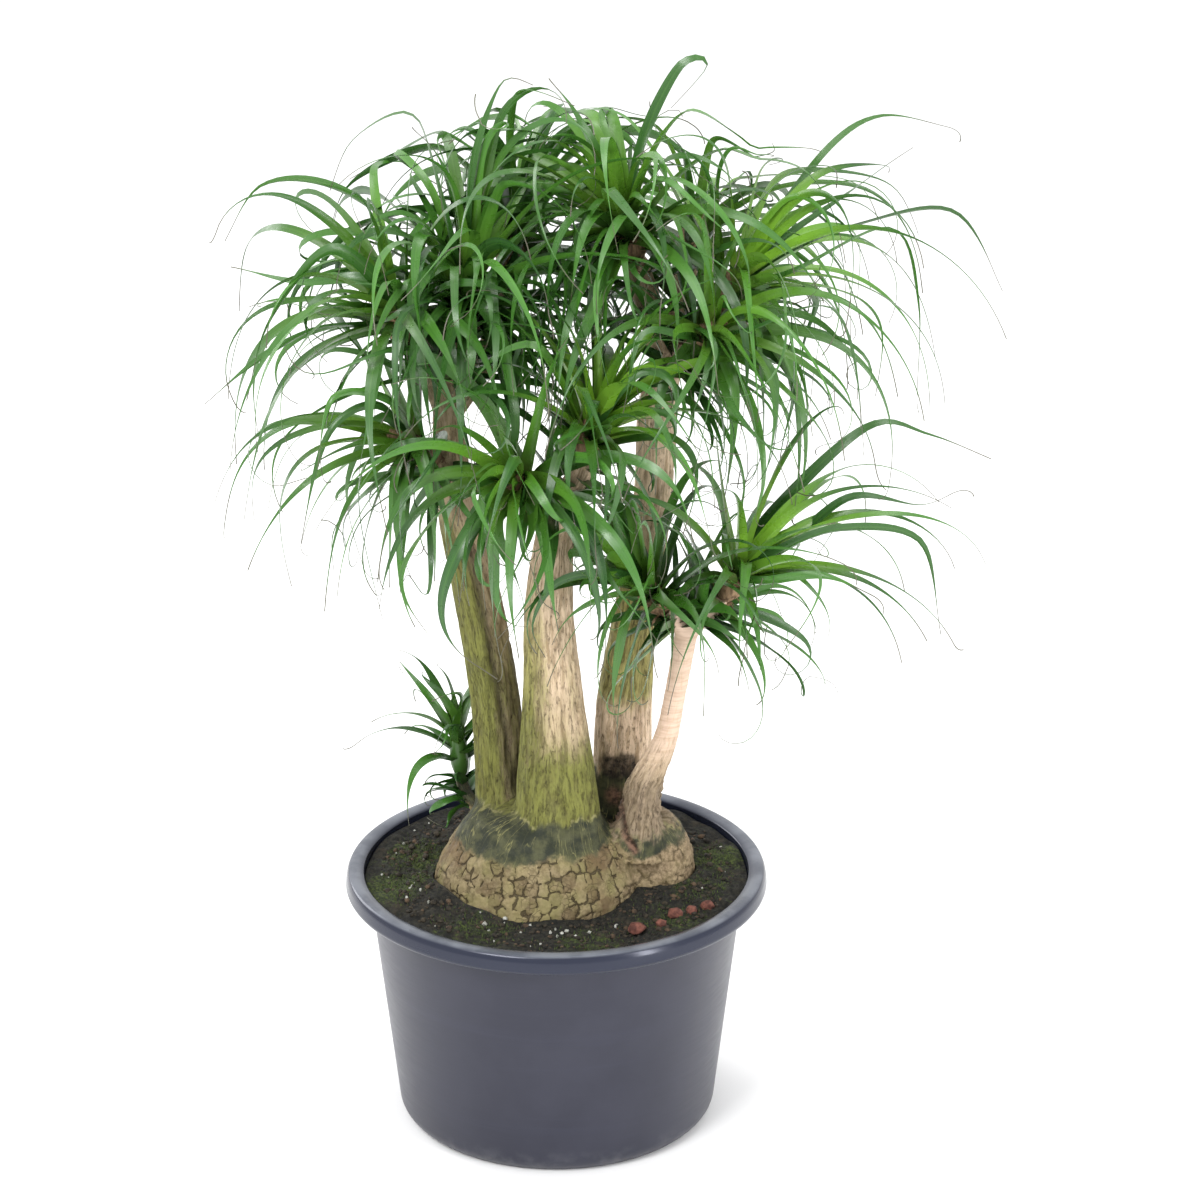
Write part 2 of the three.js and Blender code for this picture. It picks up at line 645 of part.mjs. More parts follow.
// What a leaf stays clear of: stretches with a thickness and the head that they belong to.
function woodStretches() {
  const stretches = [];
  const add = (a, b, thick, owner) => stretches.push({ a: vector(a), b: vector(b), thick, owner });
  for (const rows of Object.values(TRUNKS)) {
    for (let i = 0; i + 1 < rows.length; i++) {
      const thick = 1.07 * Math.max(rows[i][3], rows[i + 1][3]) + WOOD_GAP;
      add(rows[i].slice(0, 3), rows[i + 1].slice(0, 3), thick, null);
    }
  }
  for (const body of BASE_BODIES) {
    add([body.x, body.y, PLUG_BOTTOM], [body.x, body.y, body.top - 62], 1.05 * body.profile[0][1], null);
  }
  for (const head of HEADS) {
    const radius = neckRadius(head, 0) * 1.04;
    const axis = vector(head.axis).normalize();
    const stop = vector(head.top).addScaledVector(axis, -radius).toArray();
    const [low, middle] = [0, 0.5].map((share) => neckPoint(head, share).centre.toArray());
    add(low, middle, radius + WOOD_GAP, null);
    add(middle, stop, radius + WOOD_GAP, null);
    const tip = vector(head.top).addScaledVector(axis, coreScale(head) * CORE_PROFILE.at(-1)[0]).toArray();
    add(head.top, tip, 1.3 * head.neck, head.name);
    stretches.at(-1).root = true;
  }
  return stretches;
}

function leafStretches(points, owner) {
  const stations = stationsOf(points);
  return stations.slice(1).map((b, s) => {
    return { a: stations[s], b, thick: 0.5 * leafWidth(s / LEAF_STATIONS), owner, root: s === 0 };
  });
}

function isClear(stretches, taken) {
  return stretches.every((leaf) => taken.every((other) => {
    const kin = other.owner === leaf.owner;
    if (kin && (leaf.root || other.root)) return true;
    const wanted = (leaf.thick + other.thick) * (kin ? KIN_SHARE : 1) + LEAF_GAP;
    return stretchDistance(leaf.a, leaf.b, other.a, other.b) > wanted;
  }));
}

// Whether a leaf stays inside the crown's outline and above the head's lowest tips.
function isInCrown(points, head) {
  const box = CROWN_BOX;
  return points.every((p) => p.x > box.left && p.x < box.right && p.y > box.front && p.y < box.back
    && p.z < box.top && p.z > head.low);
}

// Marked leaves of every head first, then one rule leaf of each head in turn.
function placeLeaves() {
  const taken = woodStretches();
  const placed = Object.fromEntries(HEADS.map((head) => [head.name, []]));
  const place = (head, index, seedIndex, shape) => {
    for (let attempt = 0; attempt < ATTEMPTS; attempt++) {
      const points = shape(head, index, attempt);
      const stretches = leafStretches(points, head.name);
      if ((shape === markedLeaf || isInCrown(points, head)) && isClear(stretches, taken)) {
        taken.push(...stretches);
        placed[head.name].push(bladeSolid(head, seedIndex, points));
        return;
      }
    }
  };
  for (const head of HEADS) head.marked.forEach((_, i) => place(head, i, 40 + i, markedLeaf));
  for (let i = 0; i < Math.max(...HEADS.map((head) => head.leaves)); i++) {
    for (const head of HEADS) if (i < head.leaves) place(head, i, i, ruleLeaf);
  }
  return placed;
}

function coreSolid(head) {
  const axis = vector(head.axis).normalize();
  const rings = CORE_PROFILE.map(([height, share], i) => {
    const lift = i === 0 ? height : coreScale(head) * height;
    const centre = vector(head.top).addScaledVector(axis, lift);
    return barkRing(centre, axis, share * head.neck, CORE_SIDES, 0, 0);
  });
  return solidOf(loft(rings));
}

const plant = new THREE.Group();
const soil = soilBlock().subtract(baseHole());
plant.add(meshOf('pot', potSolid(), POT_MATERIAL));
plant.add(meshOf('soil', mainBodyOf(soil), SOIL_MATERIAL));
CLAY_CHIPS.forEach((chip, i) => {
  plant.add(meshOf(`clay_chip_${i + 1}`, chipSolid(chip, soil), CLAY_MATERIAL));
});

const wood = [
  ...BASE_BODIES.map(baseSolid),
  ...Object.values(TRUNKS).map((rows, i) => trunkSolid(rows, i + 1)),
  ...HEADS.map(neckSolid),
];
plant.add(meshOf('trunk', mainBodyOf(wasm.Manifold.union(wood)), WOOD_MATERIAL));

const blades = placeLeaves();
for (const head of HEADS) {
  const crown = mainBodyOf(wasm.Manifold.union([coreSolid(head), ...blades[head.name]]));
  plant.add(meshOf(head.name, crown, LEAF_MATERIAL));
}

export default plant;
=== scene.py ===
"""Potted ponytail palm, dressed over its frame: camera, light, pot, soil, base and trunks, leaf heads."""

import itertools
import math

import bmesh
import bpy
import numpy as np
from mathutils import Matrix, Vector, noise


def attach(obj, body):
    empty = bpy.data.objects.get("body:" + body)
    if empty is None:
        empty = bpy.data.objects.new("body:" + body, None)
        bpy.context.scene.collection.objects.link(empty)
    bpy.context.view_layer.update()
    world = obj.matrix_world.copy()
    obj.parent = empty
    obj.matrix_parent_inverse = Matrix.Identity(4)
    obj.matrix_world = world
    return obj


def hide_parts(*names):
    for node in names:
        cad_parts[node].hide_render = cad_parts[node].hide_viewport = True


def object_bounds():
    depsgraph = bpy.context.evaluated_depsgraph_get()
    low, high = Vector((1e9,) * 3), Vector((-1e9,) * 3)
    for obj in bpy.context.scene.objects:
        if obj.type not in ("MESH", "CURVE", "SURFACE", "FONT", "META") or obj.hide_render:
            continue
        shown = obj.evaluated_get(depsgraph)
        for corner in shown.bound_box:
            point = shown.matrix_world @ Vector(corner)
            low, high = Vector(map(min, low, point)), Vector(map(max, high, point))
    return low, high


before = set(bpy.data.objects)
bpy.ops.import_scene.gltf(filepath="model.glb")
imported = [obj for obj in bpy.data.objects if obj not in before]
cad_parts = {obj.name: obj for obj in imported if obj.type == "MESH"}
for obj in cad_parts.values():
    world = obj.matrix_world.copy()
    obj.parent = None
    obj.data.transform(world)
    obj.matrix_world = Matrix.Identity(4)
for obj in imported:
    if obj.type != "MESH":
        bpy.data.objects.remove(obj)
cad_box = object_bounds()

# All sizes below are in millimetres and radians; a mesh is scaled to metres when it is made.
MM = 0.001

# Camera: the point that the picture's centre shows, the distance to it, the tilt down, the lens with its
# sensor's width and how far it sees
VIEW_CENTRE = (39.4, 0, 494.8)
VIEW_DISTANCE = 4000
VIEW_TILT = math.radians(21.82)
LENS = 136.35
SENSOR_WIDTH = 36
VIEW_END = 100000
FLOOR_SIZE = 12000

# Light: the sky's strength, the point that the lamps face, and each lamp's place, width, height and watts
SKY_STRENGTH = 1.04
LAMP_TARGET = (30, 0, 450)
LAMPS = {
    "key": ((-1500, -2400, 2800), 1300, 1300, 78),
    "strip": ((2300, -2100, 1000), 450, 1900, 44),
    "top": ((200, 400, 3100), 1600, 1600, 40),
    "rim": ((-2300, 1900, 1500), 1200, 1600, 30),
}

# Pot, as in the frame
POT_HEIGHT = 238
RIM_RADIUS = 190
RIM_INNER_RADIUS = 173
RIM_BAND = 18
WALL_RADIUS_AT_FLOOR = 142.2
WALL_TAPER = 0.118
WALL_THICKNESS = 3
FOOT_RADIUS = 134
FOOT_WIDTH = 5
FOOT_CHAMFER = 8
CENTRE_PAD_RADIUS = 40
FLOOR_RECESS = 3
FLOOR_TOP = 6
FLOOR_FILLET = 6
FLARE_RADIUS = RIM_INNER_RADIUS - 0.4
FLARE_TOP = 225
FLARE_BOTTOM = 219.5
DRAIN_COUNT = 8
DRAIN_RADIUS = 7
DRAIN_RING_RADIUS = 88
DRAIN_SIDES = 24
POT_SEGMENTS = 192
POT_CREASE = math.radians(40)

# Soil: "HEAPS" and "MOSS_PATCHES" have a centre and a reach, then a height or the moss's strength
SOIL_LEVEL = 229
SOIL_MOUND = 5
HEAPS = [(-66, -84, 40, 8), (48, -92, 36, -6), (-106, -54, 34, 14)]
TOUCH_GAP = 0.3
SOIL_SEGMENTS = 420
SOIL_RINGS = 64
SOIL_HOLE_CENTRE = (30, -5)
SOIL_REACH = 160
SOIL_PIN_RADIUS = 0.3
SOIL_SEED, CRUMB_SEED, PERLITE_SEED, MOSS_SEED = 11, 1, 2, 3
CRUMB_COUNT = 1500
CRUMB_SHAPE = (1.2, 0.9, 0.7)
SOIL_CRUMB_SHARE = 0.75
MOSS_STRAND_COUNT = 1500
MOSS_STRAND_RADIUS = 0.55
STRAY_MOSS = 0.04
PERLITE_PLACES = [(-44, -107), (-22, -116), (18, -138), (-30, -128), (2, -133), (-4, -126), (6, -127),
                  (10, -124), (-62, -118), (-58, -124), (-120, -64), (-128, -52), (-132, -70),
                  (-112, -84), (30, -128)]
PERLITE_SIZE = 1.6
PERLITE_COUNT = 40
MOSS_PATCHES = [(-146, -36, 56, 1.0), (-120, 30, 60, 0.7), (146, 30, 46, 0.8), (130, -30, 50, 0.5),
                (-70, -130, 60, 0.5), (30, -146, 50, 0.5), (-20, 130, 80, 0.7), (105, -95, 46, 0.6)]

# Places of the materials in the soil's list
SOIL_KIND, CRUMB_KIND, PERLITE_KIND, MOSS_KIND, BARK_CHIP_KIND = range(5)

# Clay chips: the cuts of each edge, how much corners are rounded, and the size and depth of the pits
CHIP_WELD = 0.05
CHIP_CUTS = 3
CHIP_ROUNDING = 0.35
CHIP_PIT_SIZE = 2.5
CHIP_PIT_DEPTH = 0.45

# Swollen base: bodies turned about their own centres, with profiles of height and radius
PLUG_BOTTOM = 172
BASE_BODIES = [
    {"x": -20, "y": -15, "lump": 0.035, "seed": 1, "top": 314,
     "profile": [[172, 91], [226, 91], [244, 87], [264, 78], [284, 65], [302, 49]]},
    {"x": 84, "y": 8, "lump": 0.04, "seed": 2, "top": 293,
     "profile": [[172, 42], [226, 42], [248, 38.5], [268, 31], [284, 20]]},
]
BASE_TIP_RADIUS = 0.5
HOLE_CLEARANCE = 0.4

# Trunks: centre line points with the radius at each
TRUNK_RIDGE = 0.03
TRUNKS = {
    "left": [[-46, 8, 280, 31], [-50, 10, 316, 23.5], [-55, 12, 394, 22], [-69, 15, 488, 21],
             [-88, 15, 583, 17], [-93.5, 15, 675, 13.5]],
    "front": [[0, -26, 272, 47], [1, -28, 300, 39.5], [0, -28, 355, 33], [-2, -28, 411, 27],
              [-5, -30, 506, 21], [3, -32, 600, 15]],
    "right": [[57, 38, 270, 34], [59, 42, 317, 27], [61, 44, 380, 25], [72, 48, 475, 18.5],
              [86, 52, 569, 18], [90, 55, 659, 17], [99, 56, 704, 14]],
    "thin": [[70, -14, 258, 30], [75, -15, 290, 20], [79, -12, 322, 15.5], [97, -10, 364, 11],
             [106, -10, 409, 9.6], [117, -10, 478, 10.5]],
}
# Height at which each trunk's bark gives way to the skin of the base
BARK_ENDS = {"left": 306, "front": 309, "right": 322, "thin": 282}
NECK_RIDGE = 0.02
NECK_FLARE = 1.15

# Fineness of the base and trunks
WOOD_VOXEL = 2.6
WOOD_SMOOTHING = 6
# Soft noise: how fast its finer octaves weaken, and how much finer each is
NOISE_FALL = 0.8
NOISE_STEP = 2.1
# The grain of the bark runs as if each trunk had this radius, and each trunk's lies this far from the last
GRAIN_RADIUS = 20
GRAIN_SHIFT = 200

# Plates of the base: the heights between which they are cut, their width and height, their columns about
# each base body, their seed, how far their borders stray and how far from one a point is still measured.
# The drawn cells repeat after some rows, and their middles are moved by an unevenness.
PLATE_ZONE = (222, 282)
PLATE_SIZE = (12, 12)
PLATE_COLUMNS = (46, 20)
PLATE_SEED = 17
PLATE_STRAY = 3.2
PLATE_BORDER = 5
CELL_ROWS = 32
CELL_UNEVENNESS = 0.66

# Marks on the base, as places and reaches: the hollow between the trunks, the reddish rubble below it,
# the groove beside the thin trunk, the dark foot between two trunks and a furrow down the left one
HOLLOW = ((57, 14, 326), (22, 26, 13))
RUBBLE = ((52, -5, 301), (15, 24, 15))
GROOVE = [(57, -16, 306), (59, -26, 295), (62, -34, 282), (70, -42, 270)]
FOOT_GAP = ((-32, -8, 322), (14, 22, 30))
FURROW = [(-38, -4, 330), (-48, -10, 400), (-62, -6, 480), (-76, -2, 560)]

# Heights, or places along X, between which a kind of skin fades in
SLEEK_HEIGHTS = (325, 385)
THIN_FOOT_HEIGHTS = (352, 315)
PLATE_HEIGHTS = (284, 268)
LOBE_EDGE = (48, 72)
# The left trunk's dark side: the way that it faces and its width, in degrees, and the heights where it
# fades in
DARK_SIDE_WAY = (-35, 60)
DARK_SIDE_HEIGHTS = (560, 330)
# How far each kind of relief on the wood stands out
RELIEF = {"swell": 0.7, "ridges": 0.6, "fissures": -1.3, "veins": 0.7, "lumps": 1.4, "knobs": 0.8,
          "thin_foot": 3.0, "plate_cracks": -1.1, "plate_steps": 0.6, "rubble": 2.6, "groove": -2.6,
          "furrow": -1.8}
# Values on the wood's mesh that its material reads
WOOD_VALUES = ("grain", "base", "sleek", "plates", "crack", "algae", "shade", "rubble", "lobe", "pale",
               "edge", "tile")
# How dark each shaded place is
SHADES = {"hollow": 1.0, "dark_side": 0.4, "foot_gap": 0.7, "furrow": 0.7, "groove": 0.35, "thin_foot": 0.55}

# Leaves: the frame's rule, so that each fine blade lies where its solid lies
CORE_PROFILE = [[TOUCH_GAP, 0.98], [12, 1.55], [34, 1.15], [58, 0.45]]
SHORT_REACH = 150
SHOOT_CORE_SCALE = 1.25
GOLDEN_ANGLE = 2.39996
LEAF_STEPS = 25
LEAF_STATIONS = 5
LEAF_WIDTH = 12
LEAN_INNER = 0.2
ROOT_HIGH = 40
ROOT_LOW = 9
MARKED_ROOT = 20
MARKED_SEED = 40
SWERVE = 1.5
LEAF_TWIST = 1.6
ATTEMPTS = 60
CROWN_BOX = {"left": -298, "right": 384, "front": -236, "back": 240, "top": 980}
LEAF_GAP = 0.5
KIN_SHARE = 0.8
WOOD_GAP = 1.5

# How much thicker than the wood is what leaves keep clear of, and how far it stops below a base's top
TRUNK_MARGIN = 1.07
BASE_MARGIN = 1.05
BASE_CAP = 62
NECK_MARGIN = 1.04
CORE_MARGIN = 1.3

# Leaves that only the scene has: the first seed of each kind's draws, the tries at each leaf, and the
# ranges that extra leaves draw from, with lengths and droops as shares of their head's
EXTRA_SEED = 200
HUSK_SEED = 300
COLLAR_SEED = 400
FRONT_SEED = 600
LOOSE_ATTEMPTS = 14
EXTRA_LEAN_INNER = 0.06
EXTRA_LENGTHS = (0.45, 0.95)
EXTRA_DROOPS = (0.5, 1.2)
EXTRA_CURLS = (0.5, 5.0)
EXTRA_KINK_PLACES = (0.3, 0.6)
EXTRA_ROOT_HEIGHTS = (46, 5)
EXTRA_ROOT_SHARES = (0.1, 0.95)
# Front leaves: the way they face, how far they fan out, how far they may hang below the head's lowest
# leaf, how far out they count for their colour, and their ranges
FRONT_WAY = -1.6
FRONT_FAN = 2.2
FRONT_SINK = 70
FRONT_OUTWARDNESS = 0.8
FRONT_LEANS = (0.4, 1.6)
FRONT_LENGTHS = (120, 250)
FRONT_DROOPS = (3.0, 5.0)
FRONT_CURLS = (-0.5, 2.4)
FRONT_KINK_PLACES = (0.25, 0.5)
FRONT_ROOT_HEIGHTS = (40, 8)
# Collar leaves: the share of the neck where they start, the head's reach from which they are longest,
# and their ranges
COLLAR_LOW = 0.25
COLLAR_FULL_REACH = 240
COLLAR_REACHES = (0.35, 0.8)
COLLAR_RISES = (0.2, 0.9)
COLLAR_LENGTHS = (0.45, 1)
COLLAR_DROOPS = (0.6, 2.0)
COLLAR_CURLS = (1.0, 6.0)
HUSK_COUNT = 9
HUSK_LENGTHS = (7, 17)

# Fine blades: their stations, widths beside a frame leaf's, taper to a thread, folds and thickness
BLADE_STATIONS = 34
EXTRA_STATIONS = 26
HUSK_STATIONS = 10
FRAME_WIDTHS = (1.0, 1.35)
EXTRA_WIDTHS = (0.6, 1.15)
FRONT_WIDTHS = (0.95, 1.4)
HUSK_WIDTH = 0.5
TIP_WIDTH = 0.22
MARKED_TAPER = 0.65
WANDER = 5
ROLL = 0.5
ROLL_WAVES = 8
BLADE_THICKNESS = 0.9
MARGIN_THICKNESS = 0.2
BLADE_CREASE = math.radians(60)
# Threads at the tips: the share of leaves that have one, their width, lengths, windings and steps
THREAD_SHARE = 0.2
THREAD_WIDTH = 1.0
THREAD_LENGTHS = (10, 30)
THREAD_WINDINGS = (-1.7, 1.7)
THREAD_STEPS = 8
NO_THREAD = np.empty((0, 3))
# Places of the materials in a head's list
LEAF_KIND, HUSK_KIND = range(2)
# Corners of a blade's section, left about its way forward: place across from 1 to -1, and side
SECTION = [(1, 0), (0.55, 1), (0, 1), (-0.55, 1), (-1, 0), (-0.55, -1), (0, -1), (0.55, -1)]

# Outline of the crown as seen from the camera: a place's height counts more the further back it lies
BACK_SHARE = 0.4
DOME_TOP = 962
DOME_LEFT = -60
DOME_LEFT_FALL = 0.5
DOME_RIGHT = 110
DOME_RIGHT_FALL = 0.9
DOME_RIGHT_REACH = 60
DOME_SOFTNESS = 28

# Colours in linear light; a pair is the darkest and the palest tone of a mottled one
POT_PLASTIC = ((0.019, 0.0195, 0.03), (0.025, 0.0255, 0.038))
POT_LINES = (0.03, 0.031, 0.05)
POT_BAND = (0.011, 0.014, 0.028)
# Pale tone of the rim's top: partly wear, partly a painted reflection of the light on it
POT_WEAR_AND_SHEEN = (0.165, 0.177, 0.205)
POT_DUST = (0.12, 0.12, 0.13)
POT_SHINE = (0.86, 0.88, 1.0, 1)
FLOOR_WHITE = ((0.93, 0.93, 0.93), (0.95, 0.95, 0.95))
EARTH = ((0.003, 0.003, 0.0018), (0.022, 0.02, 0.0135))
EARTH_DRY = (0.05, 0.038, 0.022)
EARTH_MOSS = ((0.011, 0.018, 0.003), (0.066, 0.088, 0.016))
SOIL_CRUMB = ((0.008, 0.007, 0.005), (0.045, 0.034, 0.02))
PERLITE = ((0.2, 0.2, 0.17), (0.52, 0.52, 0.48))
MOSS_STRAND = ((0.018, 0.03, 0.005), (0.075, 0.115, 0.018))
BARK_CHIP = ((0.035, 0.022, 0.013), (0.095, 0.06, 0.034))
CLAY = ((0.075, 0.024, 0.017), (0.2, 0.072, 0.05))
BARK_DIM = ((0.26, 0.19, 0.105), (0.47, 0.365, 0.23))
BARK_BLEACHED = (0.55, 0.42, 0.29)
# Paler bark where 'pale' is set: real paler bark, and on the right trunk painted light that offsets the
# leaves' shadow
BARK_PALE_AND_LIT = ((0.44, 0.31, 0.19), (0.78, 0.6, 0.44))
BARK_PITS = (0.16, 0.11, 0.055)
BARK_SLITS = (0.07, 0.048, 0.022)
BARK_EDGE = (0.34, 0.31, 0.14)
FILM_DIM = ((0.063, 0.069, 0.01), (0.158, 0.171, 0.027))
# Paler green film for the same places: real, and painted light on the right trunk
FILM_PALE_AND_LIT = ((0.12, 0.11, 0.03), (0.46, 0.42, 0.14))
SLEEK_SKIN = ((0.58, 0.41, 0.3), (0.72, 0.54, 0.42))
SLEEK_SPOTS = (0.5, 0.36, 0.2)
RED_RUBBLE = ((0.045, 0.02, 0.014), (0.3, 0.165, 0.11))
DEEP_SHADE = (0.012, 0.008, 0.006)
PLATE = ((0.125, 0.095, 0.046), (0.275, 0.218, 0.122))
PLATE_OLIVE = (0.2, 0.185, 0.066)
PLATE_RUST = (0.13, 0.075, 0.038)
PLATE_PALE = (0.3, 0.24, 0.12)
PLATE_DARK = (0.115, 0.075, 0.036)
PLATE_CRACK = (0.045, 0.032, 0.014)
LOBE_PLATE = ((0.15, 0.105, 0.06), (0.38, 0.28, 0.18))
MOSSY_BAND = ((0.022, 0.026, 0.016), (0.074, 0.076, 0.036))
MOSSY_VEINS = (0.24, 0.225, 0.09)
LEAF = ((0.011, 0.052, 0.009), (0.058, 0.192, 0.018))
LEAF_CLOUDS = (0.03, 0.11, 0.018)
# Darker roots of the less fresh leaves: partly their older colour, partly painted shade near the core
LEAF_OLD_AND_SHADED = (0.007, 0.026, 0.006)
LEAF_YOUNG = (0.22, 0.45, 0.035)
LEAF_ROOT = (0.36, 0.42, 0.12)
LEAF_VEINS = (0.13, 0.3, 0.06)
LEAF_RIB = (0.11, 0.26, 0.04)
LEAF_DRY = (0.085, 0.066, 0.05)
HUSK = ((0.12, 0.07, 0.035), (0.34, 0.22, 0.125))


# Arithmetic

def draw(a, b, c):
    """A number from 0 to 1 that is always the same for the same three seeds."""
    wave = math.sin(a * 12.9898 + b * 78.233 + c * 37.719) * 43758.5453
    return wave - math.floor(wave)


def mix(a, b, share):
    return a + (b - a) * share


def soft_step(value, low, high):
    """0 below low, 1 above high and smooth between them; low may be the larger."""
    t = np.clip((value - low) / (high - low), 0, 1)
    return t * t * (3 - 2 * t)


def unit(vectors):
    vectors = np.asarray(vectors, float)
    return vectors / np.linalg.norm(vectors, axis=-1, keepdims=True)


def smooth(rows, shares):
    """Points of the smooth line through rows of numbers, at shares from 0 to 1 of its spans."""
    rows = np.asarray(rows, float)
    shares = np.asarray(shares, float)
    spans = len(rows) - 1
    span = np.minimum(np.floor(shares * spans).astype(int), spans - 1)
    t = (shares * spans - span)[..., None]
    p0, p1, p2, p3 = (rows[np.clip(span + k, 0, spans)] for k in (-1, 0, 1, 2))
    return 0.5 * (2 * p1 + (p2 - p0) * t + (2 * p0 - 5 * p1 + 4 * p2 - p3) * t * t
                  + (3 * p1 - p0 - 3 * p2 + p3) * t * t * t)


def angles_of(count):
    return np.arange(count) / count * 2 * math.pi


def around_circle(count):
    """Points that go left about a circle of radius 1."""
    return np.stack([np.cos(angles_of(count)), np.sin(angles_of(count))], axis=-1)


def level(flat, z):
    """Flat points set at one height."""
    return np.column_stack([flat, np.full(len(flat), z)])


def across(axes):
    """Two directions across each axis: right, and back from it."""
    axes = np.asarray(axes, float)
    right = unit(np.array([1.0, 0, 0]) - axes * axes[..., :1])
    return right, np.cross(axes, right)


def turned(way, axis, angle):
    """A direction turned about an axis."""
    along = axis * (axis @ way) * (1 - math.cos(angle))
    return way * math.cos(angle) + np.cross(axis, way) * math.sin(angle) + along


def fractal(place, octaves):
    """Soft noise at one place, from about -1 to 1."""
    return noise.fractal(place, NOISE_FALL, NOISE_STEP, octaves)


def cloud(points, octaves=3):
    return np.array([fractal(point, octaves) for point in points.tolist()])


def cells_of(spots, columns, size, seed):
    """How far each spot lies from the border of its cell, and the cell's tone, on a band of uneven cells
    that closes on itself after this many columns."""
    table = np.random.default_rng(seed).uniform(size=(columns, CELL_ROWS, 3))
    home = np.floor(spots / size).astype(int)
    middles, tones = [], []
    for step in itertools.product((-2, -1, 0, 1, 2), repeat=2):
        cell = home + step
        drawn = table[cell[:, 0] % columns, cell[:, 1] % CELL_ROWS]
        middles.append((cell + 0.5 + CELL_UNEVENNESS * (drawn[:, :2] - 0.5)) * size)
        tones.append(drawn[:, 2])
    middles, tones = np.stack(middles, 1), np.stack(tones, 1)
    reach = np.linalg.norm(middles - spots[:, None], axis=2)
    rows, own = np.arange(len(spots)), reach.argmin(axis=1)
    apart = np.linalg.norm(middles - middles[rows, own][:, None], axis=2)
    with np.errstate(divide="ignore", invalid="ignore"):
        border = (reach ** 2 - reach[rows, own][:, None] ** 2) / (2 * apart)
    border[rows, own] = np.inf
    return border.min(axis=1), tones[rows, own]


# Meshes

def put_in_scene(name, data):
    thing = bpy.data.objects.new(name, data)
    bpy.context.scene.collection.objects.link(thing)
    return thing


def new_mesh(name, points, polygons):
    """A mesh of points in millimetres and arrays of polygons, each array with one row a face."""
    mesh = bpy.data.meshes.new(name)
    corners = np.concatenate([p.ravel() for p in polygons]).astype(np.int32)
    sizes = np.concatenate([np.full(len(p), p.shape[1]) for p in polygons])
    mesh.vertices.add(len(points))
    mesh.vertices.foreach_set("co", (np.asarray(points, float) * MM).ravel())
    mesh.loops.add(len(corners))
    mesh.loops.foreach_set("vertex_index", corners)
    mesh.polygons.add(len(sizes))
    mesh.polygons.foreach_set("loop_start", np.concatenate([[0], np.cumsum(sizes)[:-1]]).astype(np.int32))
    mesh.update(calc_edges=True)
    mesh.shade_smooth()
    return mesh


def modified_mesh(thing):
    """A new mesh of an object as its modifiers make it."""
    bpy.context.view_layer.update()
    return bpy.data.meshes.new_from_object(thing.evaluated_get(bpy.context.evaluated_depsgraph_get()))


def new_piece(name, mesh, nodes, materials):
    """An object of the plant that stands for frame nodes and rests with them."""
    piece = put_in_scene(name, mesh)
    for material in materials:
        mesh.materials.append(material)
    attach(piece, "root")
    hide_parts(*nodes)
    return piece


def set_values(mesh, name, values):
    kind = "FLOAT" if np.ndim(values) == 1 else "FLOAT_VECTOR"
    layer = mesh.attributes.new(name, kind, "POINT")
    layer.data.foreach_set("value" if kind == "FLOAT" else "vector", np.asarray(values, float).ravel())


def read_vectors(vertices, key):
    flat = np.empty(3 * len(vertices))
    vertices.foreach_get(key, flat)
    return flat.reshape(-1, 3)


def points_of(mesh):
    return read_vectors(mesh.vertices, "co") / MM


def normals_of(mesh):
    return read_vectors(mesh.vertices, "normal")


def tube_faces(ring_count, sides, start=0):
    """Faces of a closed skin over rings that turn left about the way forward: quads, then two ends."""
    first = np.arange(sides)
    after = (first + 1) % sides
    rows = start + sides * np.arange(ring_count - 1)[:, None]
    quads = np.stack([rows + first, rows + after, rows + sides + after, rows + sides + first], axis=-1)
    ends = np.array([first[::-1] + start, first + start + sides * (ring_count - 1)])
    return quads.reshape(-1, 4), ends


def joined(lofts):
    """Points and polygons of many closed lofts, each an array of rings of points."""
    points, polygons, start = [], [], 0
    for rings in lofts:
        quads, ends = tube_faces(*rings.shape[:2], start)
        points.append(rings.reshape(-1, 3))
        polygons += [quads, ends]
        start += rings.shape[0] * rings.shape[1]
    return np.concatenate(points), polygons


# Leaf heads

class Head:
    """A leaf head, with its places as arrays.

    The neck has a radius and runs from "start" to "top", where the head points along "axis". The leaves
    have a mean length "reach", an outermost lean "spread" and a "droop", and those of the rule don't hang
    below the height "low". Each entry of "marked" is one leaf of the crown's outline, as the points that
    it passes beyond its root. "fresh" is how yellow-green inner leaves are. The frame's leaves are
    widened by "slim", and all leaves narrow from the share "taper" of their length. The scene adds
    "extra" thinner leaves, the outermost of which lean by "fan", then "front" leaves towards the camera
    and "collar" short ones along the neck.
    """

    def __init__(self, name, **measures):
        self.name = name
        vars(self).update(measures)
        self.start, self.top = np.array(self.start, float), np.array(self.top, float)
        self.axis = unit(self.axis)
        self.right, self.back = across(self.axis)
        self.is_shoot = self.reach < SHORT_REACH
        self.core_scale = SHOOT_CORE_SCALE if self.is_shoot else 1

    def draw(self, leaf, key):
        return draw(self.seed, leaf, key)

    def outward(self, turn):
        return self.right * math.cos(turn) + self.back * math.sin(turn)

    def way(self, outward, lean):
        return self.axis * math.cos(lean) + outward * math.sin(lean)

    def root(self, outward, height, share):
        """Where a leaf leaves the core, at a height and a share of the neck's radius."""
        return self.top + self.axis * self.core_scale * height + outward * share * self.neck


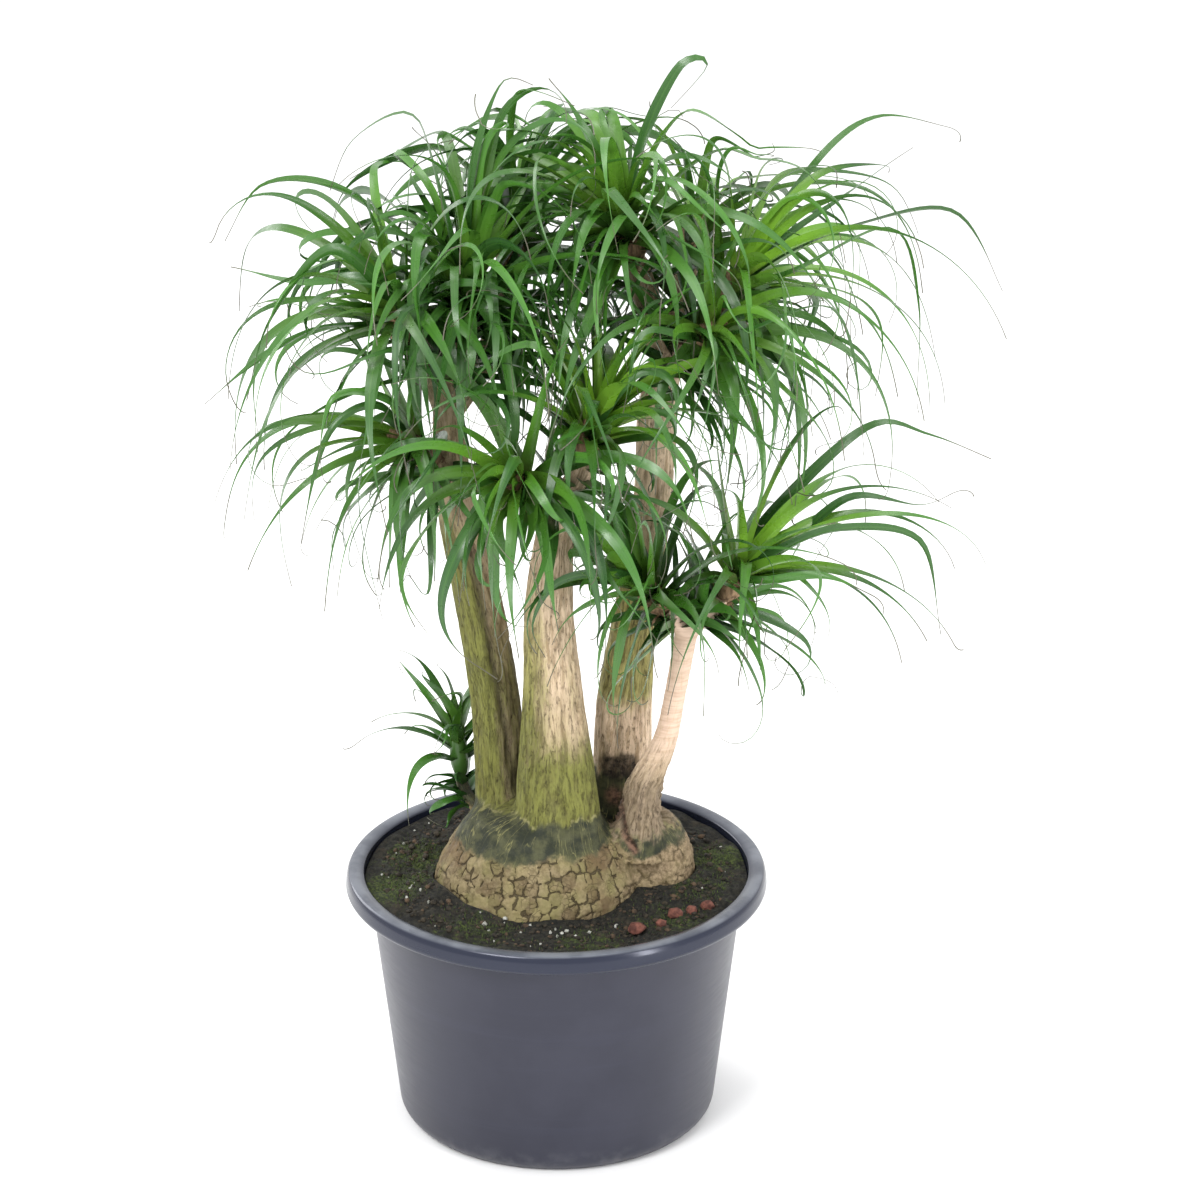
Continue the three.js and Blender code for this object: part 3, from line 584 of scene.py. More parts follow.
HEADS = [
    Head("head_left_outer", neck=10.5, start=(-93.5, 15, 664), top=(-119, 4, 729),
         axis=(-0.45, -0.1, 0.9), leaves=21, reach=285, spread=1.7, droop=2.9, low=585, seed=1, fresh=0.3,
         extra=17, fan=1.2, slim=0.95, taper=0.45, front=9, collar=8, marked=[
             [(-170, -20, 756), (-208, -30, 754), (-255, -35, 729), (-297, -40, 690)],
             [(-162, 10, 786), (-219, 20, 782), (-284, 30, 788)],
             [(-144, -20, 790), (-190, -50, 832), (-244, -60, 768), (-260, -60, 702)]]),
    Head("head_left_inner", neck=11, start=(-93.5, 15, 666), top=(-78, 19, 738),
         axis=(0.12, 0.05, 1), leaves=23, reach=300, spread=1.65, droop=2.9, low=600, seed=2, fresh=0.25,
         extra=58, fan=1.15, slim=1.1, taper=0.6, front=30, collar=22, marked=[
             [(-71, 20, 880), (-45, 20, 957), (-16, 20, 955)],
             [(-97, 20, 860), (-120, 22, 930), (-170, 24, 908), (-191, 24, 860)],
             [(-106, 24, 800), (-183, 34, 860), (-250, 38, 862), (-284, 38, 812)]]),
    Head("head_left_low", neck=8.5, start=(-87, 15, 592), top=(-104, 0, 626),
         axis=(-0.68, -0.5, 0.62), leaves=18, reach=230, spread=1.45, droop=2.3, low=530, seed=23, fresh=0.35,
         extra=4, fan=0.8, slim=0.75, taper=0.3, front=6, collar=10, marked=[
             [(-149, -40, 690), (-191, -62, 672), (-218, -72, 580)],
             [(-150, -8, 668), (-180, -6, 607), (-167, -4, 532)],
             [(-139, -60, 702), (-186, -90, 716), (-200, -96, 649)]]),
    Head("head_left_back", neck=10, start=(-93, 18, 662), top=(-38, 84, 772),
         axis=(0.1, 0.5, 0.85), leaves=18, reach=270, spread=1.6, droop=2.9, low=610, seed=4, fresh=0.25,
         extra=36, fan=1.1, slim=1.1, taper=0.6, front=12, collar=8, marked=[]),
    Head("head_front_right", neck=10.5, start=(3, -32, 590), top=(27, -40, 642),
         axis=(0.3, -0.1, 0.95), leaves=21, reach=230, spread=1.4, droop=2.5, low=600, seed=25, fresh=1.0,
         extra=30, fan=0.9, slim=1.0, taper=0.5, front=5, collar=12, marked=[
             [(39, -58, 690), (73, -62, 729), (105, -64, 712), (108, -64, 640)]]),
    Head("head_front_low", neck=9, start=(2, -33, 588), top=(-17, -65, 621),
         axis=(-0.45, -0.75, 0.5), leaves=19, reach=220, spread=1.45, droop=2.5, low=515, seed=6, fresh=0.35,
         extra=20, fan=1.2, slim=1.1, taper=0.55, front=4, collar=8, marked=[
             [(-50, -105, 650), (-100, -126, 620), (-126, -132, 570), (-104, -132, 519)],
             [(-26, -122, 636), (-33, -136, 582), (-35, -136, 522)],
             [(-44, -118, 646), (-72, -140, 608), (-80, -144, 546)]]),
    Head("head_right_top", neck=11, start=(98, 56, 692), top=(68, 43, 795),
         axis=(-0.3, -0.12, 0.95), leaves=22, reach=285, spread=1.6, droop=2.9, low=650, seed=7, fresh=0.4,
         extra=34, fan=1.25, slim=1.05, taper=0.55, front=20, collar=16, marked=[
             [(76, 40, 900), (106, 40, 968), (130, 40, 970), (100, 38, 930)],
             [(42, 38, 880), (20, 36, 932), (-3, 34, 958)]]),
    Head("head_right_outer", neck=10.5, start=(99, 56, 694), top=(141, 42, 748),
         axis=(0.5, -0.08, 0.85), leaves=23, reach=290, spread=1.6, droop=2.7, low=640, seed=8, fresh=0.9,
         extra=13, fan=0.8, slim=0.85, taper=0.2, front=5, collar=16, marked=[
             [(182, 58, 816), (238, 80, 882), (284, 92, 908), (338, 100, 898)],
             [(200, 42, 816), (264, 60, 856), (311, 70, 884)],
             [(196, 24, 804), (262, 12, 836), (340, 8, 848), (386, 8, 777)],
             [(204, 4, 796), (286, -6, 838), (312, -8, 771), (316, -8, 685)]]),
    Head("head_right_front", neck=9.5, start=(95, 52, 684), top=(121, 21, 722),
         axis=(0.42, -0.7, 0.58), leaves=19, reach=260, spread=1.55, droop=2.7, low=610, seed=9, fresh=0.4,
         extra=11, fan=1.2, slim=0.8, taper=0.25, front=5, collar=16, marked=[
             [(168, -50, 762), (236, -88, 790), (262, -96, 676)],
             [(110, -50, 756), (73, -78, 766), (58, -86, 700)]]),
    Head("head_right_back", neck=10, start=(98, 58, 690), top=(117, 99, 772),
         axis=(0.2, 0.55, 0.8), leaves=18, reach=275, spread=1.6, droop=2.9, low=620, seed=10, fresh=0.3,
         extra=11, fan=0.9, slim=0.75, taper=0.2, front=0, collar=8, marked=[]),
    Head("head_thin_right", neck=8.2, start=(116, -10, 470), top=(146, -13, 503),
         axis=(0.55, -0.08, 0.83), leaves=20, reach=240, spread=1.25, droop=2.0, low=470, seed=31, fresh=0.9,
         extra=9, fan=0.75, slim=0.9, taper=0.25, front=4, collar=22, marked=[
             [(187, -30, 548), (246, -50, 581), (318, -60, 572), (335, -60, 486)],
             [(190, 2, 576), (275, 20, 648), (327, 22, 641), (378, 22, 620)],
             [(206, -8, 552), (257, -14, 598), (319, -16, 588), (348, -16, 597)],
             [(183, -52, 532), (229, -74, 548), (270, -84, 534)],
             [(168, -56, 540), (176, -74, 516), (165, -80, 472)]]),
    Head("head_thin_left", neck=7.8, start=(116, -10, 468), top=(97, -20, 494),
         axis=(-0.6, -0.3, 0.74), leaves=18, reach=210, spread=1.25, droop=2.1, low=470, seed=12, fresh=0.3,
         extra=24, fan=1.3, slim=0.95, taper=0.45, front=3, collar=16, marked=[
             [(52, -60, 542), (5, -82, 545), (-16, -86, 508), (-8, -88, 476)],
             [(64, -50, 556), (46, -64, 606), (38, -66, 560)]]),
    Head("shoot_basal", neck=5.5, start=(-62, 34, 268), top=(-87, 60, 300),
         axis=(-0.08, 0.05, 1), leaves=14, reach=105, spread=1.15, droop=2.0, low=268, seed=13, fresh=0.15,
         extra=10, fan=1.0, slim=0.8, taper=0.45, front=0, collar=26, marked=[]),
]


# Materials

class Finish:
    """The nodes of one material. Each method adds a node and returns its output."""

    def __init__(self, name):
        self.material = bpy.data.materials.new(name)
        self.material.use_nodes = True
        self.tree = self.material.node_tree
        self.shader = self.tree.nodes["Principled BSDF"]

    def add(self, kind, inputs, output, **settings):
        node = self.tree.nodes.new(kind)
        for key, value in settings.items():
            setattr(node, key, value)
        for key, value in inputs.items():
            self.put(node.inputs[key], value)
        return node.outputs[output]

    def put(self, socket, value):
        if isinstance(value, bpy.types.NodeSocket):
            self.tree.links.new(value, socket)
        else:
            socket.default_value = value

    def finish(self, **inputs):
        for key, value in inputs.items():
            self.put(self.shader.inputs[key.replace("_", " ")], value)
        return self.material

    def place(self):
        return self.add("ShaderNodeTexCoord", {}, "Object")

    def value(self, name, output="Fac"):
        return self.add("ShaderNodeAttribute", {}, output, attribute_name=name)

    def part(self, vector, letter):
        return self.add("ShaderNodeSeparateXYZ", {"Vector": vector}, letter)

    def stretched(self, place, scale):
        return self.add("ShaderNodeMapping", {"Vector": place, "Scale": scale}, "Vector")

    def clouds(self, place, scale, detail=4.0, roughness=0.55, distortion=0.0):
        inputs = {"Vector": place, "Scale": scale, "Detail": detail, "Roughness": roughness,
                  "Distortion": distortion}
        return self.add("ShaderNodeTexNoise", inputs, "Fac")

    def streaks(self, place, scales, detail=4.0, roughness=0.55, distortion=0.0):
        return self.clouds(self.stretched(place, scales), 1, detail, roughness, distortion)

    def ramp(self, value, low, high, first=0.0, last=1.0):
        inputs = {"Value": value, "From Min": low, "From Max": high, "To Min": first, "To Max": last}
        return self.add("ShaderNodeMapRange", inputs, "Result", interpolation_type="SMOOTHSTEP")

    def patches(self, place, scale, low, high, most=1.0, detail=4.0, roughness=0.55):
        """Clouds that count for nothing below low and for most above high."""
        return self.ramp(self.clouds(place, scale, detail, roughness), low, high, 0.0, most)

    def arithmetic(self, operation, *values):
        return self.add("ShaderNodeMath", dict(enumerate(values)), 0, operation=operation)

    def sum(self, a, b):
        return self.arithmetic("ADD", a, b)

    def less(self, a, b):
        return self.arithmetic("SUBTRACT", a, b)

    def times(self, a, b):
        return self.arithmetic("MULTIPLY", a, b)

    def weighted(self, *parts):
        """The sum of values, each times its weight."""
        first = self.times(*parts[0])
        return self.sum(first, self.weighted(*parts[1:])) if len(parts) > 1 else first

    def near(self, value, middle, outer, inner, most=1.0):
        """Most where a value lies within inner of the middle, and nothing beyond outer."""
        return self.ramp(self.arithmetic("ABSOLUTE", self.less(value, middle)), outer, inner, 0.0, most)

    def blend(self, share, a, b):
        node = self.tree.nodes.new("ShaderNodeMix")
        node.data_type = "RGBA"
        self.put(node.inputs[0], share)
        self.put(node.inputs[6], (*a, 1) if isinstance(a, tuple) else a)
        self.put(node.inputs[7], (*b, 1) if isinstance(b, tuple) else b)
        return node.outputs[2]

    def tones(self, value, low, high, pair):
        """From the first colour of a pair to the second as a value goes from low to high."""
        return self.blend(self.ramp(value, low, high), *pair)

    def mottled(self, place, scale, low, high, pair, detail=4.0, roughness=0.55):
        return self.tones(self.clouds(place, scale, detail, roughness), low, high, pair)

    def coated(self, colour, *coats):
        """A colour under coats, each a share and a colour, the lowest coat first."""
        for share, coat in coats:
            colour = self.blend(share, colour, coat)
        return colour

    def bump(self, height, depth, strength=1.0, below=None):
        """Relief of a height from 0 to 1 that stands for a depth in millimetres."""
        inputs = {"Height": height, "Distance": depth * MM, "Strength": strength}
        if below is not None:
            inputs["Normal"] = below
        return self.add("ShaderNodeBump", inputs, "Normal")


def pot_finish():
    f = Finish("pot_plastic")
    place = f.place()
    height = f.part(place, "Z")
    mottle = f.clouds(place, 14, 5)
    lines = f.streaks(place, (4, 4, 110), 4, 0.6)
    scuffs = f.streaks(place, (30, 30, 400), 3)
    band = f.ramp(height, (POT_HEIGHT - RIM_BAND - 2) * MM, (POT_HEIGHT - RIM_BAND + 2) * MM)
    # The rim's top is painted paler: partly wear, partly a painted reflection of the light on it
    wear_and_sheen = f.times(f.ramp(height, (POT_HEIGHT - 3) * MM, (POT_HEIGHT - 0.5) * MM),
                   f.ramp(f.clouds(place, 30, 4), 0.3, 0.7, 0.45, 1.0))
    dust = f.times(f.ramp(height, 0.03, 0.0), f.patches(place, 45, 0.45, 0.7, 0.5, detail=5))
    colour = f.coated(f.tones(mottle, 0.35, 0.68, POT_PLASTIC),
                      (f.ramp(lines, 0.5, 0.75, 0, 0.3), POT_LINES),
                      (band, POT_BAND), (wear_and_sheen, POT_WEAR_AND_SHEEN), (dust, POT_DUST))
    normal = f.bump(scuffs, 0.08, 0.25, f.bump(f.clouds(place, 700, 3), 0.06, 0.35))
    roughness = f.ramp(f.weighted((mottle, 0.6), (scuffs, 0.4)), 0.3, 0.7, 0.3, 0.4)
    roughness = f.less(roughness, f.times(band, 0.12))
    return f.finish(Base_Color=colour, Roughness=roughness, Normal=normal, Specular_IOR_Level=0.48,
                    Specular_Tint=POT_SHINE)


def soil_finish():
    f = Finish("soil")
    place = f.place()
    specks = f.clouds(place, 170, 5, 0.68)
    grown = f.weighted((f.value("moss"), 0.3), (f.clouds(place, 60, 5, 0.6), 0.35), (specks, 0.7))
    colour = f.coated(f.mottled(place, 260, 0.38, 0.66, EARTH),
                      (f.patches(place, 52, 0.56, 0.7, 0.5, detail=3), EARTH_DRY),
                      (f.ramp(grown, 0.6, 0.78), f.mottled(place, 380, 0.38, 0.68, EARTH_MOSS, detail=3)))
    normal = f.bump(f.clouds(place, 450, 4, 0.68), 1.2, 1.0)
    return f.finish(Base_Color=colour, Roughness=0.92, Normal=normal)


def plain_grain_finish(name, pair, scale, roughness, depth):
    """A rough solid of two colours with darker pits: crumbs, perlite, moss, bark chips or fired clay."""
    f = Finish(name)
    place = f.place()
    pits = f.clouds(place, 2.5 * scale, 4, 0.65)
    colour = f.coated(f.mottled(place, scale, 0.35, 0.65, pair),
                      (f.ramp(pits, 0.42, 0.3, 0, 0.6), tuple(0.4 * c for c in pair[0])))
    return f.finish(Base_Color=colour, Roughness=roughness, Normal=f.bump(pits, depth, 0.8))


def bark_finish():
    """Trunks and base in one: values on the mesh say where each kind of skin lies."""
    f = Finish("bark")
    place = f.place()
    grain = f.value("grain", "Vector")
    base = f.value("base")
    crumbs = f.clouds(place, 190, 5, 0.65)
    skin, relief = trunk_skin(f, grain)
    base_skin, base_relief = plated_skin(f, place, grain)
    edge = f.times(f.near(base, 0.5, 0.42, 0.1), f.patches(place, 130, 0.45, 0.6, 0.5, detail=3))
    shade = f.times(f.value("shade"), f.ramp(crumbs, 0.3, 0.65, 1.0, 0.75))
    colour = f.coated(skin, (base, base_skin), (edge, BARK_EDGE),
                      (f.times(f.value("rubble"), 0.85), f.tones(crumbs, 0.38, 0.62, RED_RUBBLE)),
                      (shade, DEEP_SHADE))
    normal = f.bump(f.blend(base, relief, base_relief), 1.2, 0.85)
    roughness = f.ramp(f.clouds(place, 120, 3), 0.3, 0.7, 0.66, 0.84)
    return f.finish(Base_Color=colour, Roughness=roughness, Normal=normal, Specular_IOR_Level=0.3)


def trunk_skin(f, grain):
    """Corky bark with slits, green film over it, and the smooth ringed skin of the thin trunk."""
    streak = f.streaks(grain, (0.42, 0.42, 0.045), 6, 0.66, 0.5)
    fine = f.streaks(grain, (1.1, 1.1, 0.2), 5, 0.65)
    wide = f.streaks(grain, (0.09, 0.09, 0.02))
    pale, sleek = f.value("pale"), f.value("sleek")
    slits = f.times(f.near(streak, 0.47, 0.018, 0.004),
                    f.ramp(f.streaks(grain, (0.3, 0.3, 0.12), 2), 0.44, 0.56))

    dim = f.coated(f.tones(streak, 0.34, 0.62, BARK_DIM), (f.ramp(wide, 0.42, 0.66, 0, 0.7), BARK_BLEACHED))
    # Where 'pale' is set the bark turns paler: real on the left, front and thin trunks, painted light over
    # the right trunk
    cork = f.blend(pale, dim, f.tones(streak, 0.32, 0.62, BARK_PALE_AND_LIT))
    film = f.streaks(grain, (0.1, 0.1, 0.016), 5, 0.65)
    patchy = f.weighted((f.value("algae"), 0.85), (film, 0.55), (fine, 0.35))
    mossy = f.ramp(f.weighted((streak, 0.6), (fine, 0.4)), 0.36, 0.62)
    # The film turns paler the same way: real, and painted light on the right trunk
    green = f.blend(pale, f.blend(mossy, *FILM_DIM), f.blend(mossy, *FILM_PALE_AND_LIT))
    rings = f.streaks(grain, (0.02, 0.02, 0.5), 4, 0.6)
    spots = f.ramp(f.streaks(grain, (0.3, 0.3, 0.12)), 0.52, 0.7, 0, 0.4)
    smooth_skin = f.coated(f.tones(rings, 0.3, 0.62, SLEEK_SKIN), (spots, SLEEK_SPOTS))
    slit_share = f.times(f.less(1.0, sleek), f.weighted((slits, 0.55), (f.value("crack"), 0.2)))
    colour = f.coated(cork, (f.ramp(fine, 0.47, 0.34, 0, 0.5), BARK_PITS),
                      (f.ramp(patchy, 0.62, 1.12, 0, 0.92), green),
                      (sleek, smooth_skin), (slit_share, BARK_SLITS))
    rough = f.less(f.blend(0.4, streak, fine), f.times(slits, 0.6))
    return colour, f.blend(sleek, rough, f.times(rings, 0.4))


def plate_cracks(f, place, plates, lobe):
    """Wide cracks round the plates, by the mesh's distance from their borders, and thin ones inside them."""
    bend = f.add("ShaderNodeTexNoise", {"Vector": place, "Scale": 55.0, "Detail": 3.0}, "Color")
    bent = f.add("ShaderNodeVectorMath", {0: bend, 1: (0.0085, 0.0085, 0.0085)}, 0, operation="MULTIPLY")
    bent = f.add("ShaderNodeVectorMath", {0: bent, 1: place}, 0, operation="ADD")
    inputs = {"Vector": f.stretched(bent, (1, 1, 1.25)), "Scale": 165}
    small = f.add("ShaderNodeTexVoronoi", inputs, "Distance", feature="DISTANCE_TO_EDGE")
    ragged = f.sum(f.value("edge"), f.times(f.less(f.clouds(place, 330, 3), 0.5), 1.7))
    thin = f.times(f.ramp(small, 0.06, 0.015), f.patches(place, 60, 0.5, 0.62, 0.6, detail=3))
    crack = f.times(f.sum(f.ramp(ragged, 1.1, 0.5), thin), f.ramp(plates, 0.3, 0.8))
    return f.times(crack, f.less(1.0, f.times(lobe, 0.45)))


def plated_skin(f, place, grain):
    """Cracked corky plates low on the base and a dark mossy band with pale veins above them."""
    plates, lobe, tile = f.value("plates"), f.value("lobe"), f.value("tile")
    crack = plate_cracks(f, place, plates, lobe)
    grit = f.clouds(place, 240, 5, 0.62)
    plate = f.coated(f.tones(grit, 0.35, 0.65, PLATE),
                     (f.patches(place, 34, 0.42, 0.66, 0.7), PLATE_OLIVE),
                     (f.patches(place, 20, 0.5, 0.66, 0.6), PLATE_RUST),
                     (f.ramp(tile, 0.3, 0.95, 0, 0.35), PLATE_PALE),
                     (f.ramp(tile, 0.55, 0.05, 0, 0.45), PLATE_DARK),
                     (f.times(lobe, 0.6), f.tones(grit, 0.35, 0.65, LOBE_PLATE)),
                     (f.ramp(crack, 0.1, 0.9, 0, 0.88), PLATE_CRACK))
    vein = f.near(f.streaks(grain, (0.33, 0.33, 0.016), 3, 0.5, 0.35), 0.52, 0.016, 0.003)
    lit = f.times(vein, f.ramp(f.clouds(place, 42, 3), 0.42, 0.56, 0.12, 0.95))
    band = f.coated(f.mottled(place, 75, 0.36, 0.66, MOSSY_BAND, 5, 0.6), (f.times(lit, 0.6), MOSSY_VEINS))
    share = f.ramp(f.sum(plates, f.times(f.less(grit, 0.5), 0.7)), 0.2, 0.8)
    relief = f.less(f.blend(0.5, grit, f.clouds(place, 520, 4)), f.times(crack, 0.9))
    return f.blend(share, band, plate), relief


def leaf_finish():
    """Green straps with lengthwise veins, young and yellow at the root of fresh heads, dry at the tip."""
    f = Finish("leaf")
    place = f.place()
    uv = f.add("ShaderNodeUVMap", {}, "UV", uv_map="UVMap")
    spread, along = f.part(uv, "X"), f.part(uv, "Y")
    tone, fresh = f.value("tone"), f.value("fresh")
    lines = {"X": f.times(spread, 34.0), "Y": f.times(along, 2.2), "Z": f.times(tone, 80)}
    lines = f.add("ShaderNodeCombineXYZ", lines, "Vector")
    veins = f.clouds(lines, 1, 2, 0.5)
    dying = f.sum(along, f.times(f.less(f.clouds(place, 40, 3), 0.5), 0.16))
    colour = f.coated(f.blend(tone, *LEAF),
                      (f.patches(lines, 0.16, 0.35, 0.68, 0.6, 3, 0.5), LEAF_CLOUDS),
                      # Less fresh leaves darken towards the root: partly older colour, partly painted shade
                      # near the core
                      (f.times(f.ramp(along, 0.34, 0.02, 0, 0.75), f.less(1.0, fresh)), LEAF_OLD_AND_SHADED),
                      (f.times(f.ramp(along, 0.62, 0.08), fresh), LEAF_YOUNG),
                      (f.times(f.ramp(along, 0.12, 0.02, 0, 0.7), fresh), LEAF_ROOT))
    colour = f.coated(colour, (f.ramp(veins, 0.42, 0.7, 0, 0.3), f.blend(0.5, colour, LEAF_VEINS)),
                      (f.near(spread, 0.5, 0.05, 0.0, 0.3), LEAF_RIB),
                      (f.ramp(dying, 0.84, 0.94, 0, 0.85), LEAF_DRY))
    roughness = f.ramp(f.clouds(place, 90, 3), 0.3, 0.7, 0.24, 0.38)
    return f.finish(Base_Color=colour, Roughness=roughness, Normal=f.bump(veins, 0.12, 0.5),
                    Specular_IOR_Level=0.52)


def husk_finish():
    f = Finish("husk")
    lines = f.streaks(f.place(), (380, 380, 60))
    colour = f.tones(lines, 0.35, 0.65, HUSK)
    return f.finish(Base_Color=colour, Roughness=0.8, Normal=f.bump(lines, 0.5, 0.7))


def floor_finish():
    f = Finish("floor")
    colour = f.blend(f.clouds(f.place(), 1.5, 2), *FLOOR_WHITE)
    return f.finish(Base_Color=colour, Roughness=0.9, Specular_IOR_Level=0.0)


# Camera, light and floor

def add_camera():
    toward = Vector((0, math.cos(VIEW_TILT), -math.sin(VIEW_TILT)))
    data = bpy.data.cameras.new("camera")
    data.lens = LENS
    data.sensor_width = SENSOR_WIDTH
    data.clip_end = VIEW_END * MM
    camera = put_in_scene("camera", data)
    camera.location = Vector(VIEW_CENTRE) * MM - toward * VIEW_DISTANCE * MM
    camera.rotation_euler = (math.pi / 2 - VIEW_TILT, 0, 0)
    bpy.context.scene.camera = camera


def add_lamp(name, place, width, height, power):
    data = bpy.data.lights.new(name, "AREA")
    data.shape = "RECTANGLE"
    data.size = width * MM
    data.size_y = height * MM
    data.energy = power
    lamp = put_in_scene(name, data)
    lamp.location = Vector(place) * MM
    lamp.rotation_euler = (Vector(LAMP_TARGET) - Vector(place)).to_track_quat("-Z", "Y").to_euler()


def add_studio():
    scene = bpy.context.scene
    scene.view_settings.view_transform = "Standard"
    world = bpy.data.worlds.new("studio")
    world.use_nodes = True
    background = world.node_tree.nodes["Background"]
    background.inputs["Color"].default_value = (1.0, 1.0, 1.0, 1)
    background.inputs["Strength"].default_value = SKY_STRENGTH
    scene.world = world
    for name, settings in LAMPS.items():
        add_lamp(name, *settings)
    corners = FLOOR_SIZE / 2 * np.array([[-1, -1, 0], [1, -1, 0], [1, 1, 0], [-1, 1, 0]])
    floor = put_in_scene("floor", new_mesh("floor", corners, [np.array([[0, 1, 2, 3]])]))
    floor.data.materials.append(floor_finish())


# Pot

def wall_radius(z):
    return WALL_RADIUS_AT_FLOOR + WALL_TAPER * z


def inner_wall(z):
    return wall_radius(z) - WALL_THICKNESS


def rounded(corners, steps=6):
    """A profile whose corners, given as radius, height and rounding, turn in short arcs."""
    corners = np.asarray(corners, float)
    line = []
    for i, (x, y, reach) in enumerate(corners):
        here = np.array([x, y])
        if reach == 0:
            line.append(here)
            continue
        before, after = corners[i - 1][:2], corners[i + 1][:2]
        start = here + unit(before - here) * reach
        end = here + unit(after - here) * reach
        for t in np.linspace(0, 1, steps):
            line.append((1 - t) ** 2 * start + 2 * t * (1 - t) * here + t * t * end)
    return np.array(line)


def pot_profile():
    """The pot's section from the middle of its underside round the rim to the middle of its floor."""
    band = POT_HEIGHT - RIM_BAND
    return rounded([
        (0, 0, 0),
        (CENTRE_PAD_RADIUS - FLOOR_RECESS, 0, 1),
        (CENTRE_PAD_RADIUS, FLOOR_RECESS, 1),
        (FOOT_RADIUS - FOOT_WIDTH, FLOOR_RECESS, 1),
        (FOOT_RADIUS - FOOT_WIDTH, 0, 0.8),
        (FOOT_RADIUS, 0, 1.5),
        (wall_radius(FOOT_CHAMFER), FOOT_CHAMFER, 7),
        (wall_radius(band - 3), band - 3, 0.8),
        (RIM_RADIUS - 2, band, 1),
        (RIM_RADIUS, band + 3, 2),
        (RIM_RADIUS - 1.2, POT_HEIGHT - 6, 1.5),
        (RIM_RADIUS - 3.2, POT_HEIGHT - 1.2, 2.4),
        (RIM_RADIUS - 9, POT_HEIGHT, 3),
        (RIM_INNER_RADIUS, POT_HEIGHT - 2.5, 1.6),
        (FLARE_RADIUS, FLARE_TOP, 1),
        (inner_wall(FLARE_BOTTOM), FLARE_BOTTOM, 1),
        (inner_wall(FLOOR_TOP + FLOOR_FILLET), FLOOR_TOP + FLOOR_FILLET, 3),
        (inner_wall(FLOOR_TOP) - FLOOR_FILLET, FLOOR_TOP, 3),
        (0, FLOOR_TOP, 0),
    ])


def turned_mesh(name, profile, segments):
    """A closed body turned about Z from a profile that starts and ends on it."""
    inner = profile[1:-1]
    rings = np.concatenate([inner[:, None, :1] * around_circle(segments),
                            np.repeat(inner[:, None, 1:], segments, axis=1)], axis=-1)
    quads, _ = tube_faces(len(inner), segments)
    points = np.concatenate([rings.reshape(-1, 3), [[0, 0, profile[0, 1]], [0, 0, profile[-1, 1]]]])
    bottom, top = len(points) - 2, len(points) - 1
    first = np.arange(segments)
    after = (first + 1) % segments
    last = segments * (len(inner) - 1)
    fans = np.concatenate([np.stack([np.full(segments, bottom), after, first], axis=-1),
                           np.stack([np.full(segments, top), last + first, last + after], axis=-1)])
    return new_mesh(name, points, [quads, fans])


def drain_drill(angle):
    """A rod through the pot's floor at one angle."""
    centre = DRAIN_RING_RADIUS * np.array([math.cos(angle), math.sin(angle)])
    circle = centre + DRAIN_RADIUS * around_circle(DRAIN_SIDES)
    return np.stack([level(circle, z) for z in (-FLOOR_TOP, 2 * FLOOR_TOP)])


def make_pot():
    mesh = turned_mesh("pot_shell", pot_profile(), POT_SEGMENTS)
    piece = new_piece("pot_shell", mesh, ["pot"], [pot_finish()])
    rods = [drain_drill((i + 0.5) / DRAIN_COUNT * 2 * math.pi) for i in range(DRAIN_COUNT)]
    drills = put_in_scene("drills", new_mesh("drills", *joined(rods)))
    cut = piece.modifiers.new("drains", "BOOLEAN")
    cut.operation = "DIFFERENCE"
    cut.solver = "EXACT"
    cut.object = drills
    holed = modified_mesh(piece)
    piece.modifiers.clear()
    piece.data = holed
    bpy.data.objects.remove(drills)
    holed.set_sharp_from_angle(angle=POT_CREASE)


# Swollen base and trunks

def base_swell(body, angle):
    phase = body["seed"] * 1.7
    return 1 + body["lump"] * (0.6 * np.sin(3 * angle + phase) + 0.4 * np.sin(5 * angle + 2 * phase))


def base_rings(body, sides=120, count=44):
    rows = smooth(body["profile"] + [[body["top"], BASE_TIP_RADIUS]], np.linspace(0, 1, count))
    radii = np.maximum(rows[:, 1:], BASE_TIP_RADIUS) * base_swell(body, angles_of(sides))
    flat = [body["x"], body["y"]] + radii[..., None] * around_circle(sides)
    return np.concatenate([flat, np.repeat(rows[:, None, :1], sides, axis=1)], axis=-1)


def bark_rings(centres, forwards, radii, sides, ridge, seed):
    """Rings of bark across each way forward, with upright ridges."""
    right, back = across(unit(forwards))
    angle = angles_of(sides)
    swell = 1 + ridge * np.sin(3 * angle + seed) + ridge * np.sin(5 * angle + 2.3 * seed)
    r = np.asarray(radii, float)[:, None, None] * swell[:, None]
    return (centres[:, None] + r * (right[:, None] * np.cos(angle)[:, None]
                                    + back[:, None] * np.sin(angle)[:, None]))


def trunk_rings(rows, seed, sides=64, count=70):
    shares = np.linspace(0, 1, count)
    line = smooth(rows, shares)
    ahead = smooth(rows, np.minimum(1, shares + 0.01))[:, :3]
    behind = smooth(rows, np.maximum(0, shares - 0.01))[:, :3]
    return bark_rings(line[:, :3], ahead - behind, line[:, 3], sides, TRUNK_RIDGE, seed)


def neck_line(head, shares):
    """Centres and ways forward along a head's neck."""
    bend = head.top - head.axis * 0.5 * np.linalg.norm(head.top - head.start)
    t = np.asarray(shares, float)[:, None]
    centres = (1 - t) ** 2 * head.start + 2 * t * (1 - t) * bend + t * t * head.top
    return centres, unit(2 * (1 - t) * (bend - head.start) + 2 * t * (head.top - bend))


def neck_rings(head, sides=32, count=24):
    shares = np.linspace(0, 1, count)
    return bark_rings(*neck_line(head, shares), head.neck * mix(NECK_FLARE, 1, shares), sides, NECK_RIDGE,
                      head.seed)


